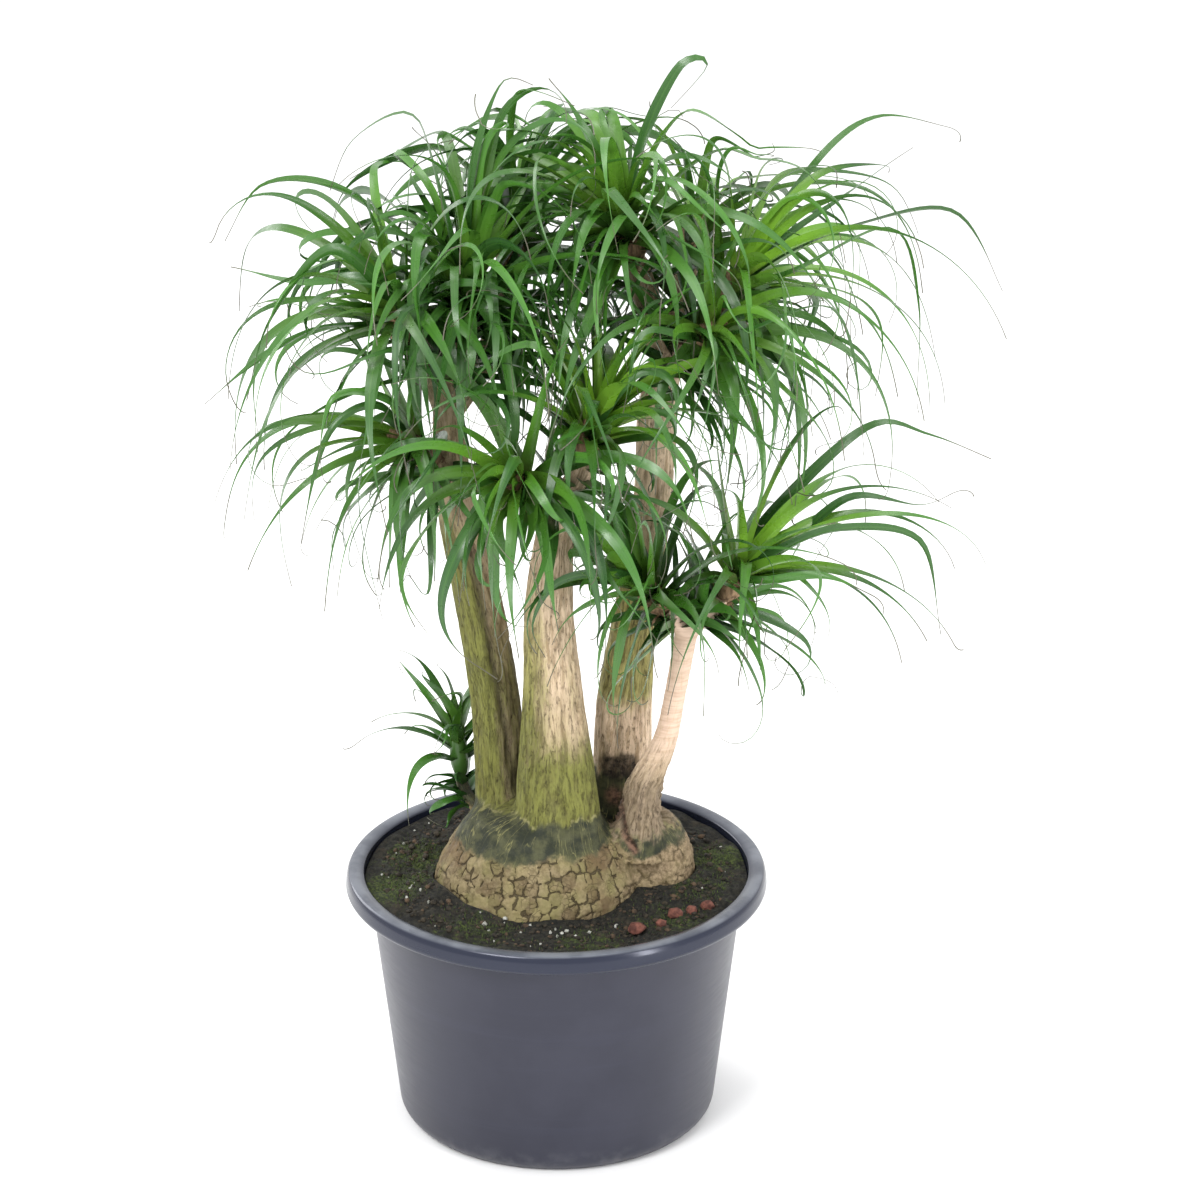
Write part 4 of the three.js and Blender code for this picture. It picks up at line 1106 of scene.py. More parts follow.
def wood_mesh():
    """Base, trunks and necks in one skin of small even faces, finer where the plates lie."""
    lofts = [base_rings(body) for body in BASE_BODIES]
    lofts += [trunk_rings(rows, i + 1) for i, rows in enumerate(TRUNKS.values())]
    lofts += [neck_rings(head) for head in HEADS]
    rough = put_in_scene("rough_wood", new_mesh("rough_wood", *joined(lofts)))
    remesh = rough.modifiers.new("skin", "REMESH")
    remesh.mode = "VOXEL"
    remesh.voxel_size = WOOD_VOXEL * MM
    soften = rough.modifiers.new("soften", "SMOOTH")
    soften.factor = 0.5
    soften.iterations = WOOD_SMOOTHING
    mesh = modified_mesh(rough)
    bpy.data.objects.remove(rough)
    mesh.name = "wood"
    refine(mesh, *PLATE_ZONE)
    return mesh


def refine(mesh, low, high):
    """Halves the faces between two heights, so that fine cracks can be cut into them."""
    shape = bmesh.new()
    shape.from_mesh(mesh)
    edges = [e for e in shape.edges if all(low * MM < v.co.z < high * MM for v in e.verts)]
    bmesh.ops.subdivide_edges(shape, edges=edges, cuts=1, use_grid_fill=True)
    shape.to_mesh(mesh)
    shape.free()


def wood_lines():
    """Centre lines with radii of the trunks and then the necks, each with the number of its trunk."""
    trunks = [np.array(rows, float) for rows in TRUNKS.values()]
    lines = list(enumerate(trunks))
    for head in HEADS:
        centres, _ = neck_line(head, [0, 0.33, 0.66, 1])
        starts = [np.linalg.norm(rows[:, :3] - head.start, axis=1).min() for rows in trunks]
        lines.append((int(np.argmin(starts)), np.column_stack([centres, np.full(len(centres), head.neck)])))
    return lines


def along_stretch(points, a, b):
    """For each point: how far along the stretch from a to b it lies, and its way from there."""
    t = np.clip((points - a) @ (b - a) / ((b - a) @ (b - a)), 0, 1)
    return t, points - (a + t[:, None] * (b - a))


def nearest_trunk(points):
    """For each point: the trunk that it lies nearest to, its angle about that trunk and its gap from it."""
    best = np.full(len(points), np.inf)
    index = np.zeros(len(points), int)
    offset = np.zeros((len(points), 3))
    for trunk, line in wood_lines():
        for a, b in zip(line[:-1], line[1:]):
            t, apart = along_stretch(points, a[:3], b[:3])
            gap = np.linalg.norm(apart, axis=1) - mix(a[3], b[3], t)
            nearer = gap < best
            best[nearer] = gap[nearer]
            index[nearer] = trunk
            offset[nearer] = apart[nearer]
    return index, np.arctan2(offset[:, 1], offset[:, 0]), np.maximum(best, 0)


def line_gap(points, line):
    """How far each point lies from a line of straight stretches."""
    line = np.array(line, float)
    return np.minimum.reduce([np.linalg.norm(along_stretch(points, a, b)[1], axis=1)
                              for a, b in zip(line[:-1], line[1:])])


def place_gap(points, place):
    """How far each point lies from a place's centre, beside the place's reaches."""
    centre, reaches = place
    return np.linalg.norm((points - centre) / reaches, axis=1)


def faces_way(around, way, width):
    """1 where an angle faces a way, in degrees about Z, and 0 beyond a width from it."""
    return soft_step(np.cos(around - math.radians(way)), math.cos(math.radians(width)), 1)


def green_film(trunk, around, z):
    """Where green film has grown: low down, and up the sides that the picture shows green."""
    left = np.maximum(0.95 * faces_way(around, 215, 120) * soft_step(z, 640, 500),
                      0.55 * soft_step(z, 620, 420))
    front = np.maximum.reduce([soft_step(z, 440, 318),
                               0.75 * faces_way(around, 195, 110) * soft_step(z, 600, 440),
                               0.3 * soft_step(z, 560, 440)])
    right = 0.9 * soft_step(z, 560, 500) * soft_step(z, 365, 410) + 0.3 * soft_step(z, 420, 330)
    thin = 0.2 * soft_step(z, 330, 300)
    return np.choose(trunk, [left, front, right, thin])


def plate_marks(points, plates, lobe):
    """How far in millimetres each point lies from the border of its plate, and the tone of that plate."""
    edge, tile = np.full(len(points), float(PLATE_BORDER)), np.full(len(points), 0.5)
    low, high = PLATE_ZONE
    in_zone = (plates > 0.05) & (points[:, 2] > low) & (points[:, 2] < high)
    for i, (body, columns) in enumerate(zip(BASE_BODIES, PLATE_COLUMNS)):
        near = in_zone & ((lobe > 0.5) == (i == 1))
        here = points[near]
        angle = np.arctan2(here[:, 1] - body["y"], here[:, 0] - body["x"])
        spots = np.column_stack([angle / (2 * math.pi) * columns * PLATE_SIZE[0], here[:, 2]])
        spots = spots + PLATE_STRAY * np.column_stack([cloud(here / 15 + k, 3) for k in (0, 31)])
        apart, tile[near] = cells_of(spots, columns, PLATE_SIZE, PLATE_SEED + i)
        healed = 1.1 * soft_step(cloud(here / 20 + 5), 0.1, -0.2) + 3 * soft_step(plates[near], 0.7, 0.2)
        edge[near] = apart + healed
    return np.minimum(edge, PLATE_BORDER), tile


def skin_values(points, grain, trunk, around):
    """Where each kind of skin and mark lies, and the plates' borders and tones, by name."""
    x, _, z = points.T
    is_left, is_thin = (trunk == list(TRUNKS).index(name) for name in ("left", "thin"))
    ends = np.array(list(BARK_ENDS.values()), float)[trunk] - np.where(is_thin, 9 * cloud(points / 7, 3), 0)
    scallop = 3 * np.abs(np.sin(3.5 * around)) + 3 * cloud(points / 14)
    scallop = scallop + 5 * cloud(grain / np.array([3, 3, 40]), 2)
    melt = np.where(is_thin, 9, 3.5)
    base = soft_step(z, ends - scallop + melt, ends - scallop - melt)
    lobe = soft_step(x, *LOBE_EDGE) * base
    plates = soft_step(z + 5 * cloud(points / 22) + 12 * lobe, *PLATE_HEIGHTS)
    edge, tile = plate_marks(points, plates, lobe)
    sleek = np.where(is_thin, soft_step(z, *SLEEK_HEIGHTS), 0) * (1 - base)
    corky = (1 - base) * (1 - 0.9 * sleek)
    ridges = cloud(grain / np.array([4.5, 4.5, 30]), 3)
    return {
        "grain": grain, "base": base, "sleek": sleek, "plates": plates, "lobe": lobe, "edge": edge,
        "tile": tile, "corky": corky, "ridges": ridges * corky,
        "crack": soft_step(ridges, -0.12, -0.42) * corky,
        "algae": green_film(trunk, around, z),
        # Paler bark high on the left and front trunks and a little on the thin one; the right trunk's
        # paleness is painted light against the leaves' shadow
        "pale": np.choose(trunk, [0.1 * soft_step(z, 480, 560), 0.55 * soft_step(z, 380, 470), 0.75, 0.15]),
        "rubble": soft_step(place_gap(points, RUBBLE), 1.15, 0.7),
        "groove": soft_step(line_gap(points, GROOVE), 5.5, 1.5),
        "furrow": soft_step(line_gap(points, FURROW), 7, 1) * is_left,
        "thin_foot": is_thin * soft_step(z, *THIN_FOOT_HEIGHTS) * (1 - base),
        "dark_side": faces_way(around, *DARK_SIDE_WAY) * soft_step(z, *DARK_SIDE_HEIGHTS) * is_left,
    }


def relief_values(points, skin):
    """Relief of each kind: long fissures on the trunks, veins on the dark band, lumps and rubble below."""
    grain, base, plates = skin["grain"], skin["base"], skin["plates"]
    bumps = cloud(points / 8, 3)
    return {
        "swell": cloud(grain / np.array([14, 14, 90]), 2) * skin["corky"],
        "ridges": skin["ridges"],
        "fissures": skin["crack"],
        "veins": cloud(grain / np.array([4, 4, 70]), 2) * base * (1 - plates),
        "lumps": cloud(points / 30, 3) * base,
        "knobs": bumps * base * plates,
        "thin_foot": bumps * skin["thin_foot"],
        "plate_cracks": soft_step(skin["edge"], 1.9, 0.3),
        "plate_steps": (skin["tile"] - 0.5) * plates,
        "rubble": skin["rubble"] * cloud(points / 6, 3),
        "groove": skin["groove"],
        "furrow": skin["furrow"],
    }


def shade_value(points, skin):
    """The darkest of the shades at each point."""
    places = {"hollow": soft_step(place_gap(points, HOLLOW) + 0.25 * cloud(points / 7), 1.2, 0.7),
              "foot_gap": soft_step(place_gap(points, FOOT_GAP), 1.2, 0.5)}
    return np.maximum.reduce([share * {**skin, **places}[name] for name, share in SHADES.items()])


def make_wood():
    mesh = wood_mesh()
    points = points_of(mesh)
    trunk, around, gap = nearest_trunk(points)
    grain = np.column_stack([GRAIN_RADIUS * np.cos(around) + GRAIN_SHIFT * trunk,
                             GRAIN_RADIUS * np.sin(around), points[:, 2] - gap])
    skin = skin_values(points, grain, trunk, around)
    shift = sum(RELIEF[name] * value for name, value in relief_values(points, skin).items())
    moved = points + normals_of(mesh) * shift[:, None]
    skin["shade"] = shade_value(moved, skin)
    skin["rubble"] = np.maximum(skin["rubble"], skin["groove"])
    mesh.vertices.foreach_set("co", (moved * MM).ravel())
    mesh.update()
    mesh.shade_smooth()
    for name in WOOD_VALUES:
        set_values(mesh, name, skin[name])
    new_piece("base_and_trunks", mesh, ["trunk"], [bark_finish()])


# Soil

def soil_height(x, y):
    ripple = 1.6 * np.sin(0.061 * x + 1) * np.cos(0.052 * y) + 1.1 * np.sin(0.11 * x - 0.083 * y)
    mound = SOIL_MOUND * np.maximum(0, 1 - np.hypot(x, y) / wall_radius(SOIL_LEVEL))
    heaps = [height * np.exp(-((x - hx) / reach) ** 2 - ((y - hy) / reach) ** 2)
             for hx, hy, reach, height in HEAPS]
    return SOIL_LEVEL + ripple + mound + sum(heaps)


def clods(x, y):
    """Height of the lumps of the soil's surface."""
    flat = np.column_stack([x, y, np.zeros_like(x)])
    return 2.6 * cloud(flat / 13, 4) + 2.2 * np.abs(cloud(flat / 5 + 9, 3))


def surface_at(x, y):
    return soil_height(x, y) + clods(np.array([x]), np.array([y]))[0]


def hole_outline(way, step=0.25):
    """Points of the plain hole that the base stands in, one each way from the hole's centre."""
    reach = np.arange(20, 190, step)
    points = np.array(SOIL_HOLE_CENTRE) + reach[:, None, None] * way
    inside = np.zeros(points.shape[:2], bool)
    for body in BASE_BODIES:
        apart = points - np.array([body["x"], body["y"]])
        swell = base_swell(body, np.arctan2(apart[..., 1], apart[..., 0]))
        inside |= np.linalg.norm(apart, axis=-1) < (body["profile"][0][1] + HOLE_CLEARANCE) * swell
    furthest = len(reach) - 1 - np.argmax(inside[::-1], axis=0)
    return np.array(SOIL_HOLE_CENTRE) + (reach[furthest] + step)[:, None] * way


def moss_at(x, y):
    grown = np.zeros_like(x)
    for px, py, reach, strength in MOSS_PATCHES:
        grown = np.maximum(grown, strength * soft_step(np.hypot(x - px, y - py), reach, 0.2 * reach))
    return grown


def icosphere(level):
    ball = bmesh.new()
    bmesh.ops.create_icosphere(ball, subdivisions=level, radius=1)
    points = np.array([v.co[:] for v in ball.verts])
    faces = np.array([[v.index for v in face.verts] for face in ball.faces])
    ball.free()
    return points, faces


def is_beside_base(x, y):
    return all(math.hypot(x - body["x"], y - body["y"]) > 1.04 * body["profile"][0][1] + 2
               for body in BASE_BODIES)


def scatter(count, seed, share_at=None):
    """As many seeded places on the soil beside the base; share_at, if any, gives the share kept at each."""
    random = np.random.default_rng(seed)
    places = []
    while len(places) < count:
        angle, radius = random.uniform(0, 2 * math.pi), SOIL_REACH * math.sqrt(random.uniform(0, 1))
        x, y = radius * math.cos(angle), radius * math.sin(angle)
        chance = random.uniform()
        if is_beside_base(x, y) and (share_at is None or chance < share_at(x, y)):
            places.append((x, y))
    return places


def soil_rings():
    """Rings from the bottom of the hole over the top, down the pot's wall and in along its floor."""
    way = around_circle(SOIL_SEGMENTS)
    hole = hole_outline(way)
    plug = PLUG_BOTTOM - HOLE_CLEARANCE
    top_edge = FLARE_RADIUS - 2 * TOUCH_GAP
    floor = FLOOR_TOP + TOUCH_GAP
    low_wall = inner_wall(floor + FLOOR_FILLET) - TOUCH_GAP
    rings = [level(mix(np.zeros_like(hole) + SOIL_HOLE_CENTRE, hole, share), plug) for share in (0.003, 1)]
    for share in np.linspace(0, 1, SOIL_RINGS):
        x, y = mix(hole, way * top_edge, share).T
        lift = clods(x, y) * min(1, 14 * (1 - share), 0.3 + 14 * share)
        rings.append(np.column_stack([x, y, soil_height(x, y) + lift]))
    sides = [(top_edge, FLARE_TOP + 2 * TOUCH_GAP),
             (inner_wall(FLARE_BOTTOM) - 2 * TOUCH_GAP, FLARE_BOTTOM + TOUCH_GAP),
             (low_wall, floor + FLOOR_FILLET),
             (low_wall - FLOOR_FILLET, floor),
             (SOIL_PIN_RADIUS, floor)]
    return np.array(rings + [level(way * radius, z) for radius, z in sides])


class Bits:
    """Shapes gathered for one mesh, each with the number of its material."""

    def __init__(self):
        self.points, self.polygons, self.kinds, self.count = [], [], [], 0

    def add(self, points, polygons, kind):
        self.points.append(points)
        for faces in polygons:
            self.polygons.append(faces + self.count)
            self.kinds.append(np.full(len(faces), kind))
        self.count += len(points)

    def mesh(self, name):
        mesh = new_mesh(name, np.concatenate(self.points), self.polygons)
        mesh.polygons.foreach_set("material_index", np.concatenate(self.kinds))
        return mesh


def add_crumbs(bits, random):
    ball, faces = icosphere(1)
    for x, y in scatter(CRUMB_COUNT, CRUMB_SEED):
        size = 0.9 + 2.8 * random.uniform() ** 3
        body = ball * random.uniform(0.6, 1.25, (len(ball), 1)) * size * CRUMB_SHAPE
        turn = random.uniform(0, 2 * math.pi)
        body[:, :2] = body[:, :2] @ np.array([[math.cos(turn), math.sin(turn)],
                                              [-math.sin(turn), math.cos(turn)]])
        kind = CRUMB_KIND if random.uniform() < SOIL_CRUMB_SHARE else BARK_CHIP_KIND
        bits.add(body + [x, y, surface_at(x, y) + 0.15 * size], [faces], kind)


def add_perlite(bits, random):
    ball, faces = icosphere(2)
    for i, (x, y) in enumerate(PERLITE_PLACES + scatter(PERLITE_COUNT, PERLITE_SEED)):
        size = PERLITE_SIZE if i < len(PERLITE_PLACES) else 0.6 + 0.8 * random.uniform()
        body = ball * random.uniform(0.6, 1.3, (len(ball), 1)) * size * random.uniform(0.6, 1.5, 3)
        bits.add(body + [x, y, surface_at(x, y) + 0.3 * size], [faces], PERLITE_KIND)


def add_moss(bits, random):
    def share_at(x, y):
        return moss_at(np.array([x]), np.array([y]))[0] + STRAY_MOSS

    foot = MOSS_STRAND_RADIUS * np.array([[1, 0, 0], [-0.5, 0.87, 0], [-0.5, -0.87, 0]])
    faces = np.array([[0, 2, 1], [0, 1, 3], [1, 2, 3], [2, 0, 3]])
    for x, y in scatter(MOSS_STRAND_COUNT, MOSS_SEED, share_at):
        tall = random.uniform(1.8, 4.5)
        lean = random.uniform(-1, 1, 2) * 0.6 * tall
        top = surface_at(x, y)
        tip = [x + lean[0], y + lean[1], top + tall]
        bits.add(np.array([*(foot + [x, y, top - 1]), tip]), [faces], MOSS_KIND)


def make_soil():
    bits, random = Bits(), np.random.default_rng(SOIL_SEED)
    rings = soil_rings()
    quads, ends = tube_faces(len(rings), SOIL_SEGMENTS)
    bits.add(rings.reshape(-1, 3), [quads[:, ::-1], ends[:, ::-1]], SOIL_KIND)
    add_crumbs(bits, random)
    add_perlite(bits, random)
    add_moss(bits, random)
    mesh = bits.mesh("soil_bed")
    set_values(mesh, "moss", moss_at(*points_of(mesh)[:, :2].T))
    new_piece("soil_bed", mesh, ["soil"], [
        soil_finish(),
        plain_grain_finish("soil_crumb", SOIL_CRUMB, 180, 0.9, 0.4),
        plain_grain_finish("perlite", PERLITE, 300, 0.8, 0.2),
        plain_grain_finish("moss", MOSS_STRAND, 200, 0.75, 0.1),
        plain_grain_finish("bark_chip", BARK_CHIP, 180, 0.88, 0.4),
    ])


def make_clay_chips():
    finish = plain_grain_finish("clay", CLAY, 190, 0.9, 0.8)
    for name in sorted(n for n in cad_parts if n.startswith("clay_chip")):
        shape = bmesh.new()
        shape.from_mesh(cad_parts[name].data)
        bmesh.ops.remove_doubles(shape, verts=shape.verts, dist=CHIP_WELD * MM)
        bmesh.ops.subdivide_edges(shape, edges=shape.edges, cuts=CHIP_CUTS, use_grid_fill=True)
        bmesh.ops.smooth_vert(shape, verts=shape.verts, factor=CHIP_ROUNDING, use_axis_x=True,
                              use_axis_y=True, use_axis_z=True)
        shape.normal_update()
        for vert in shape.verts:
            vert.co += vert.normal * fractal(vert.co / (CHIP_PIT_SIZE * MM), 3) * CHIP_PIT_DEPTH * MM
        mesh = bpy.data.meshes.new(name + "_rough")
        shape.to_mesh(mesh)
        shape.free()
        mesh.shade_smooth()
        new_piece(name + "_rough", mesh, [name], [finish])


# Leaves

def leaf_width(share):
    return LEAF_WIDTH * (0.55 * np.sqrt(1 - share) + 0.45 * (1 - share)) * (1 + 0.3 * (1 - share) ** 6)


def even_points(points, count):
    steps = np.linalg.norm(np.diff(points, axis=0), axis=1)
    along = np.concatenate([[0], np.cumsum(steps)])
    wanted = np.linspace(0, along[-1], count + 1)
    return np.column_stack([np.interp(wanted, along, points[:, k]) for k in range(3)])


def arched(root, way, length, droop, swerve, bends=None, tilt=0.0):
    """Points of a strap that leaves its root one way, sinks and swerves, and bends more where it is told."""
    x, y, z = root
    wx, wy, wz = way
    pivot = unit(np.array([-wy, wx, 0.001]) + tilt * np.asarray(way))
    step = length / LEAF_STEPS
    points = [(x, y, z)]
    for k in range(LEAF_STEPS):
        along = (k + 0.5) / LEAF_STEPS
        wz -= droop * (0.3 + 1.4 * along) / LEAF_STEPS
        turn = swerve * 2 * along / LEAF_STEPS
        wx, wy = wx * math.cos(turn) - wy * math.sin(turn), wx * math.sin(turn) + wy * math.cos(turn)
        if bends is not None:
            wx, wy, wz = turned(np.array([wx, wy, wz]), pivot, bends[k])
        size = math.sqrt(wx * wx + wy * wy + wz * wz)
        wx, wy, wz = wx / size, wy / size, wz / size
        x, y, z = x + wx * step, y + wy * step, z + wz * step
        points.append((x, y, z))
    return np.array(points)


def bends_of(curl, kink=0.0, place=0.5):
    """How far each step of a leaf bends down beyond its droop: a curl of its outer half and one kink."""
    along = (np.arange(LEAF_STEPS) + 0.5) / LEAF_STEPS
    wound = np.maximum(0, along - 0.5)
    sharp = np.exp(-((along - place) / 0.05) ** 2)
    return curl * wound / wound.sum() + kink * sharp / sharp.sum()


def rule_leaf(head, index, attempt):
    """Points of a leaf that follows the head's rule: golden-angle turns, inner leaves upright."""
    def random(key):
        return head.draw(index + 1, 9 * attempt + key)

    loose = 1 + 0.08 * attempt
    share = (index + 0.5) / head.leaves
    turn = index * GOLDEN_ANGLE + head.seed + (random(1) - 0.5) * 0.5 * loose
    lean = mix(LEAN_INNER, head.spread, share ** 0.8) + (random(2) - 0.5) * 0.4 * loose
    length = head.reach * (0.78 + 0.34 * random(3)) * (1 - 0.006 * attempt)
    droop = head.droop * (0.7 + 0.6 * random(4)) * (1 + 0.01 * attempt)
    swerve = SWERVE * (2 * random(5) - 1) * loose
    outward = head.outward(turn)
    root = head.root(outward, mix(ROOT_HIGH, ROOT_LOW, share), mix(0.2, 0.9, share))
    return arched(root, head.way(outward, lean), length, droop, swerve)


def marked_leaf(head, index, attempt):
    """Points of a marked leaf, moved a little further from its marks with each attempt."""
    marks = head.marked[index]
    rows = [head.top + head.axis * MARKED_ROOT]
    for m, mark in enumerate(marks):
        drawn = np.array([head.draw(MARKED_SEED + index, 9 * attempt + key) for key in (1, 2, 3)])
        rows.append(mark + 5 * attempt * (m + 1) / len(marks) * (drawn - 0.5) * [0.5, 2, 0.5])
    return even_points(smooth(rows, np.linspace(0, 1, 4 * LEAF_STEPS + 1)), LEAF_STEPS)


class Stretches:
    """Straight stretches that leaves stay clear of. A leaf may touch its own head's roots."""

    def __init__(self):
        self.a, self.b = np.empty((0, 3)), np.empty((0, 3))
        self.thick, self.owner, self.root = np.empty(0), np.empty(0, int), np.empty(0, bool)

    def add(self, a, b, thick, owner=-1, root=False):
        self.a = np.concatenate([self.a, np.atleast_2d(a)])
        self.b = np.concatenate([self.b, np.atleast_2d(b)])
        self.thick = np.concatenate([self.thick, np.atleast_1d(thick)])
        self.owner = np.concatenate([self.owner, np.atleast_1d(owner)])
        self.root = np.concatenate([self.root, np.atleast_1d(root)])

    def are_clear_of(self, other):
        u, v = (self.b - self.a)[:, None], (other.b - other.a)[None]
        w = self.a[:, None] - other.a[None]
        uu, uv, vv = (u * u).sum(-1), (u * v).sum(-1), (v * v).sum(-1)
        uw, vw = (u * w).sum(-1), (v * w).sum(-1)
        cross = uu * vv - uv * uv
        s = np.where(cross > 1e-9, np.clip((uv * vw - vv * uw) / np.maximum(cross, 1e-9), 0, 1), 0)
        t = np.clip((uv * s + vw) / vv, 0, 1)
        s = np.clip((uv * t - uw) / uu, 0, 1)
        apart = np.linalg.norm(w + u * s[..., None] - v * t[..., None], axis=-1)
        kin = self.owner[:, None] == other.owner[None]
        rooted = kin & (self.root[:, None] | other.root[None])
        wanted = (self.thick[:, None] + other.thick[None]) * np.where(kin, KIN_SHARE, 1) + LEAF_GAP
        return bool((rooted | (apart > wanted)).all())


def wood_stretches():
    wood = Stretches()
    for rows in TRUNKS.values():
        for a, b in zip(rows[:-1], rows[1:]):
            wood.add(a[:3], b[:3], TRUNK_MARGIN * max(a[3], b[3]) + WOOD_GAP)
    for body in BASE_BODIES:
        wood.add([body["x"], body["y"], PLUG_BOTTOM], [body["x"], body["y"], body["top"] - BASE_CAP],
                 BASE_MARGIN * body["profile"][0][1])
    for number, head in enumerate(HEADS):
        radius = head.neck * NECK_FLARE * NECK_MARGIN
        low, middle = neck_line(head, [0, 0.5])[0]
        wood.add(low, middle, radius + WOOD_GAP)
        wood.add(middle, head.top - head.axis * radius, radius + WOOD_GAP)
        core_top = head.top + head.axis * head.core_scale * CORE_PROFILE[-1][0]
        wood.add(head.top, core_top, CORE_MARGIN * head.neck, number, True)
    return wood


def leaf_stretches(points, owner):
    stations = points[::LEAF_STEPS // LEAF_STATIONS]
    leaf = Stretches()
    shares = np.arange(LEAF_STATIONS) / LEAF_STATIONS
    leaf.add(stations[:-1], stations[1:], 0.5 * leaf_width(shares), np.full(LEAF_STATIONS, owner),
             np.arange(LEAF_STATIONS) == 0)
    return leaf


def is_in_crown(points, head, sink=0):
    low, high = points.min(axis=0), points.max(axis=0)
    box = CROWN_BOX
    return (low[0] > box["left"] and high[0] < box["right"] and low[1] > box["front"]
            and high[1] < box["back"] and high[2] < box["top"] and low[2] > head.low - sink)


def place_leaves():
    """The frame's leaves, as (points, seed) lists: marked ones first, then one of each head in turn."""
    taken = wood_stretches()
    placed = [[] for _ in HEADS]

    def place(number, index, seed, shape):
        head = HEADS[number]
        for attempt in range(ATTEMPTS):
            points = shape(head, index, attempt)
            if shape is rule_leaf and not is_in_crown(points, head):
                continue
            leaf = leaf_stretches(points, number)
            if leaf.are_clear_of(taken):
                taken.add(leaf.a, leaf.b, leaf.thick, leaf.owner, leaf.root)
                placed[number].append((points, seed))
                return

    for number, head in enumerate(HEADS):
        for index in range(len(head.marked)):
            place(number, index, MARKED_SEED + index, marked_leaf)
    for index in range(max(head.leaves for head in HEADS)):
        for number, head in enumerate(HEADS):
            if index < head.leaves:
                place(number, index, index, rule_leaf)
    return placed


def over_dome(points):
    """How far points rise above the crown's outline as the camera sees it."""
    x = points[:, 0]
    top = (DOME_TOP - DOME_LEFT_FALL * np.maximum(0, DOME_LEFT - x)
           - DOME_RIGHT_FALL * np.clip(x - DOME_RIGHT, 0, DOME_RIGHT_REACH))
    return points[:, 2] + BACK_SHARE * points[:, 1] - top


def pressed(points):
    """A leaf's points, those near and above the dome eased down under it."""
    rise = np.maximum(0, over_dome(points) + DOME_SOFTNESS)
    eased = DOME_SOFTNESS * (1 - np.exp(-rise / DOME_SOFTNESS))
    return points - np.array([0, 0, 1.0]) * (rise - eased)[:, None]


def is_in_frame(points):
    """True where points lie inside the frame's own box."""
    low, high = np.array(cad_box) / MM
    return bool((points > low + 1).all() and (points < high - 1).all())


class Attempt:
    """One attempt at a leaf that only the scene has, with its own seeded draws."""

    def __init__(self, head, first_seed, index, number):
        self.head, self.index, self.number = head, index, number
        self.seed = first_seed + index

    def random(self, key):
        return self.head.draw(self.seed, 11 * self.number + key)


def extra_leaf(attempt):
    """A thinner leaf between the frame's, by a looser rule."""
    head, random = attempt.head, attempt.random
    share = (attempt.index + 0.5) / head.extra
    outward = head.outward(attempt.index * GOLDEN_ANGLE + 2 * head.seed + 1.2 * random(1))
    lean = mix(EXTRA_LEAN_INNER, head.fan, share ** 0.85) + (random(2) - 0.5) * 0.4
    length = head.reach * mix(*EXTRA_LENGTHS, random(3))
    droop = head.droop * mix(*EXTRA_DROOPS, random(4))
    kink = 1.3 * max(0, random(7) - 0.45) / 0.55
    bends = bends_of(mix(*EXTRA_CURLS, random(6) ** 2), kink, mix(*EXTRA_KINK_PLACES, random(8)))
    root = head.root(outward, mix(*EXTRA_ROOT_HEIGHTS, share), mix(*EXTRA_ROOT_SHARES, share))
    return arched(root, head.way(outward, lean), length, droop, SWERVE * (2 * random(5) - 1), bends,
                  2 * random(9) - 1)


def front_leaf(attempt):
    """A broad leaf that arches towards the camera and hangs in front of the trunk tops."""
    head, random = attempt.head, attempt.random
    turn = FRONT_WAY + FRONT_FAN * (random(1) - 0.5)
    outward = np.array([math.cos(turn), math.sin(turn), 0])
    outward = unit(outward - head.axis * (head.axis @ outward))
    way = head.way(outward, mix(*FRONT_LEANS, random(2)))
    root = head.root(outward, mix(*FRONT_ROOT_HEIGHTS, random(3)), 0.7)
    length = mix(*FRONT_LENGTHS, random(4)) * (1 - 0.03 * attempt.number)
    droop = mix(*FRONT_DROOPS, random(5))
    bends = bends_of(mix(*FRONT_CURLS, random(6)), 1.2 * random(7) ** 2, mix(*FRONT_KINK_PLACES, random(8)))
    return arched(root, way, length, droop, 1.6 * random(9) - 0.8, bends, random(10) - 0.5)


def collar_leaf(attempt):
    """A short curly leaf on the head's neck."""
    head, random = attempt.head, attempt.random
    reach = mix(*COLLAR_REACHES, min(1, head.reach / COLLAR_FULL_REACH)) * head.reach
    centres, forwards = neck_line(head, [mix(COLLAR_LOW, 1, attempt.index / head.collar)])
    right, back = across(forwards[0])
    turn = attempt.index * GOLDEN_ANGLE + random(1)
    outward = right * math.cos(turn) + back * math.sin(turn)
    root = centres[0] + 0.7 * head.neck * outward
    way = unit(forwards[0] * mix(*COLLAR_RISES, random(2)) + outward)
    length, droop = reach * mix(*COLLAR_LENGTHS, random(4)), mix(*COLLAR_DROOPS, random(5))
    bends = bends_of(mix(*COLLAR_CURLS, random(3)))
    return arched(root, way, length, droop, 2 * random(6) - 1, bends, 2.4 * random(7) - 1.2)


def is_free(points, head, wood, sink=0):
    """True where a leaf keeps inside the crown and the frame, under the dome and clear of all wood."""
    return (is_in_crown(points, head, sink) and is_in_frame(points) and (over_dome(points) < 0).all()
            and leaf_stretches(points, HEADS.index(head)).are_clear_of(wood))


def is_front_free(points, head, wood):
    return is_free(points, head, wood, FRONT_SINK)


def is_collar_free(points, head, wood):
    """True where a collar leaf keeps above the soil, and all but its root clear of the wood."""
    outer = even_points(points[8:], LEAF_STEPS)
    return (points[:, 2].min() > POT_HEIGHT + 4
            and leaf_stretches(outer, HEADS.index(head)).are_clear_of(wood))


def loose_leaves(head, wood, count, first_seed, shape, fits):
    """Leaves that only the scene has, as (points, seed): of each, the first attempt that fits."""
    placed = []
    for index in range(count):
        for number in range(LOOSE_ATTEMPTS):
            attempt = Attempt(head, first_seed, index, number)
            points = shape(attempt)
            if fits(points, head, wood):
                placed.append((points, attempt.seed))
                break
    return placed


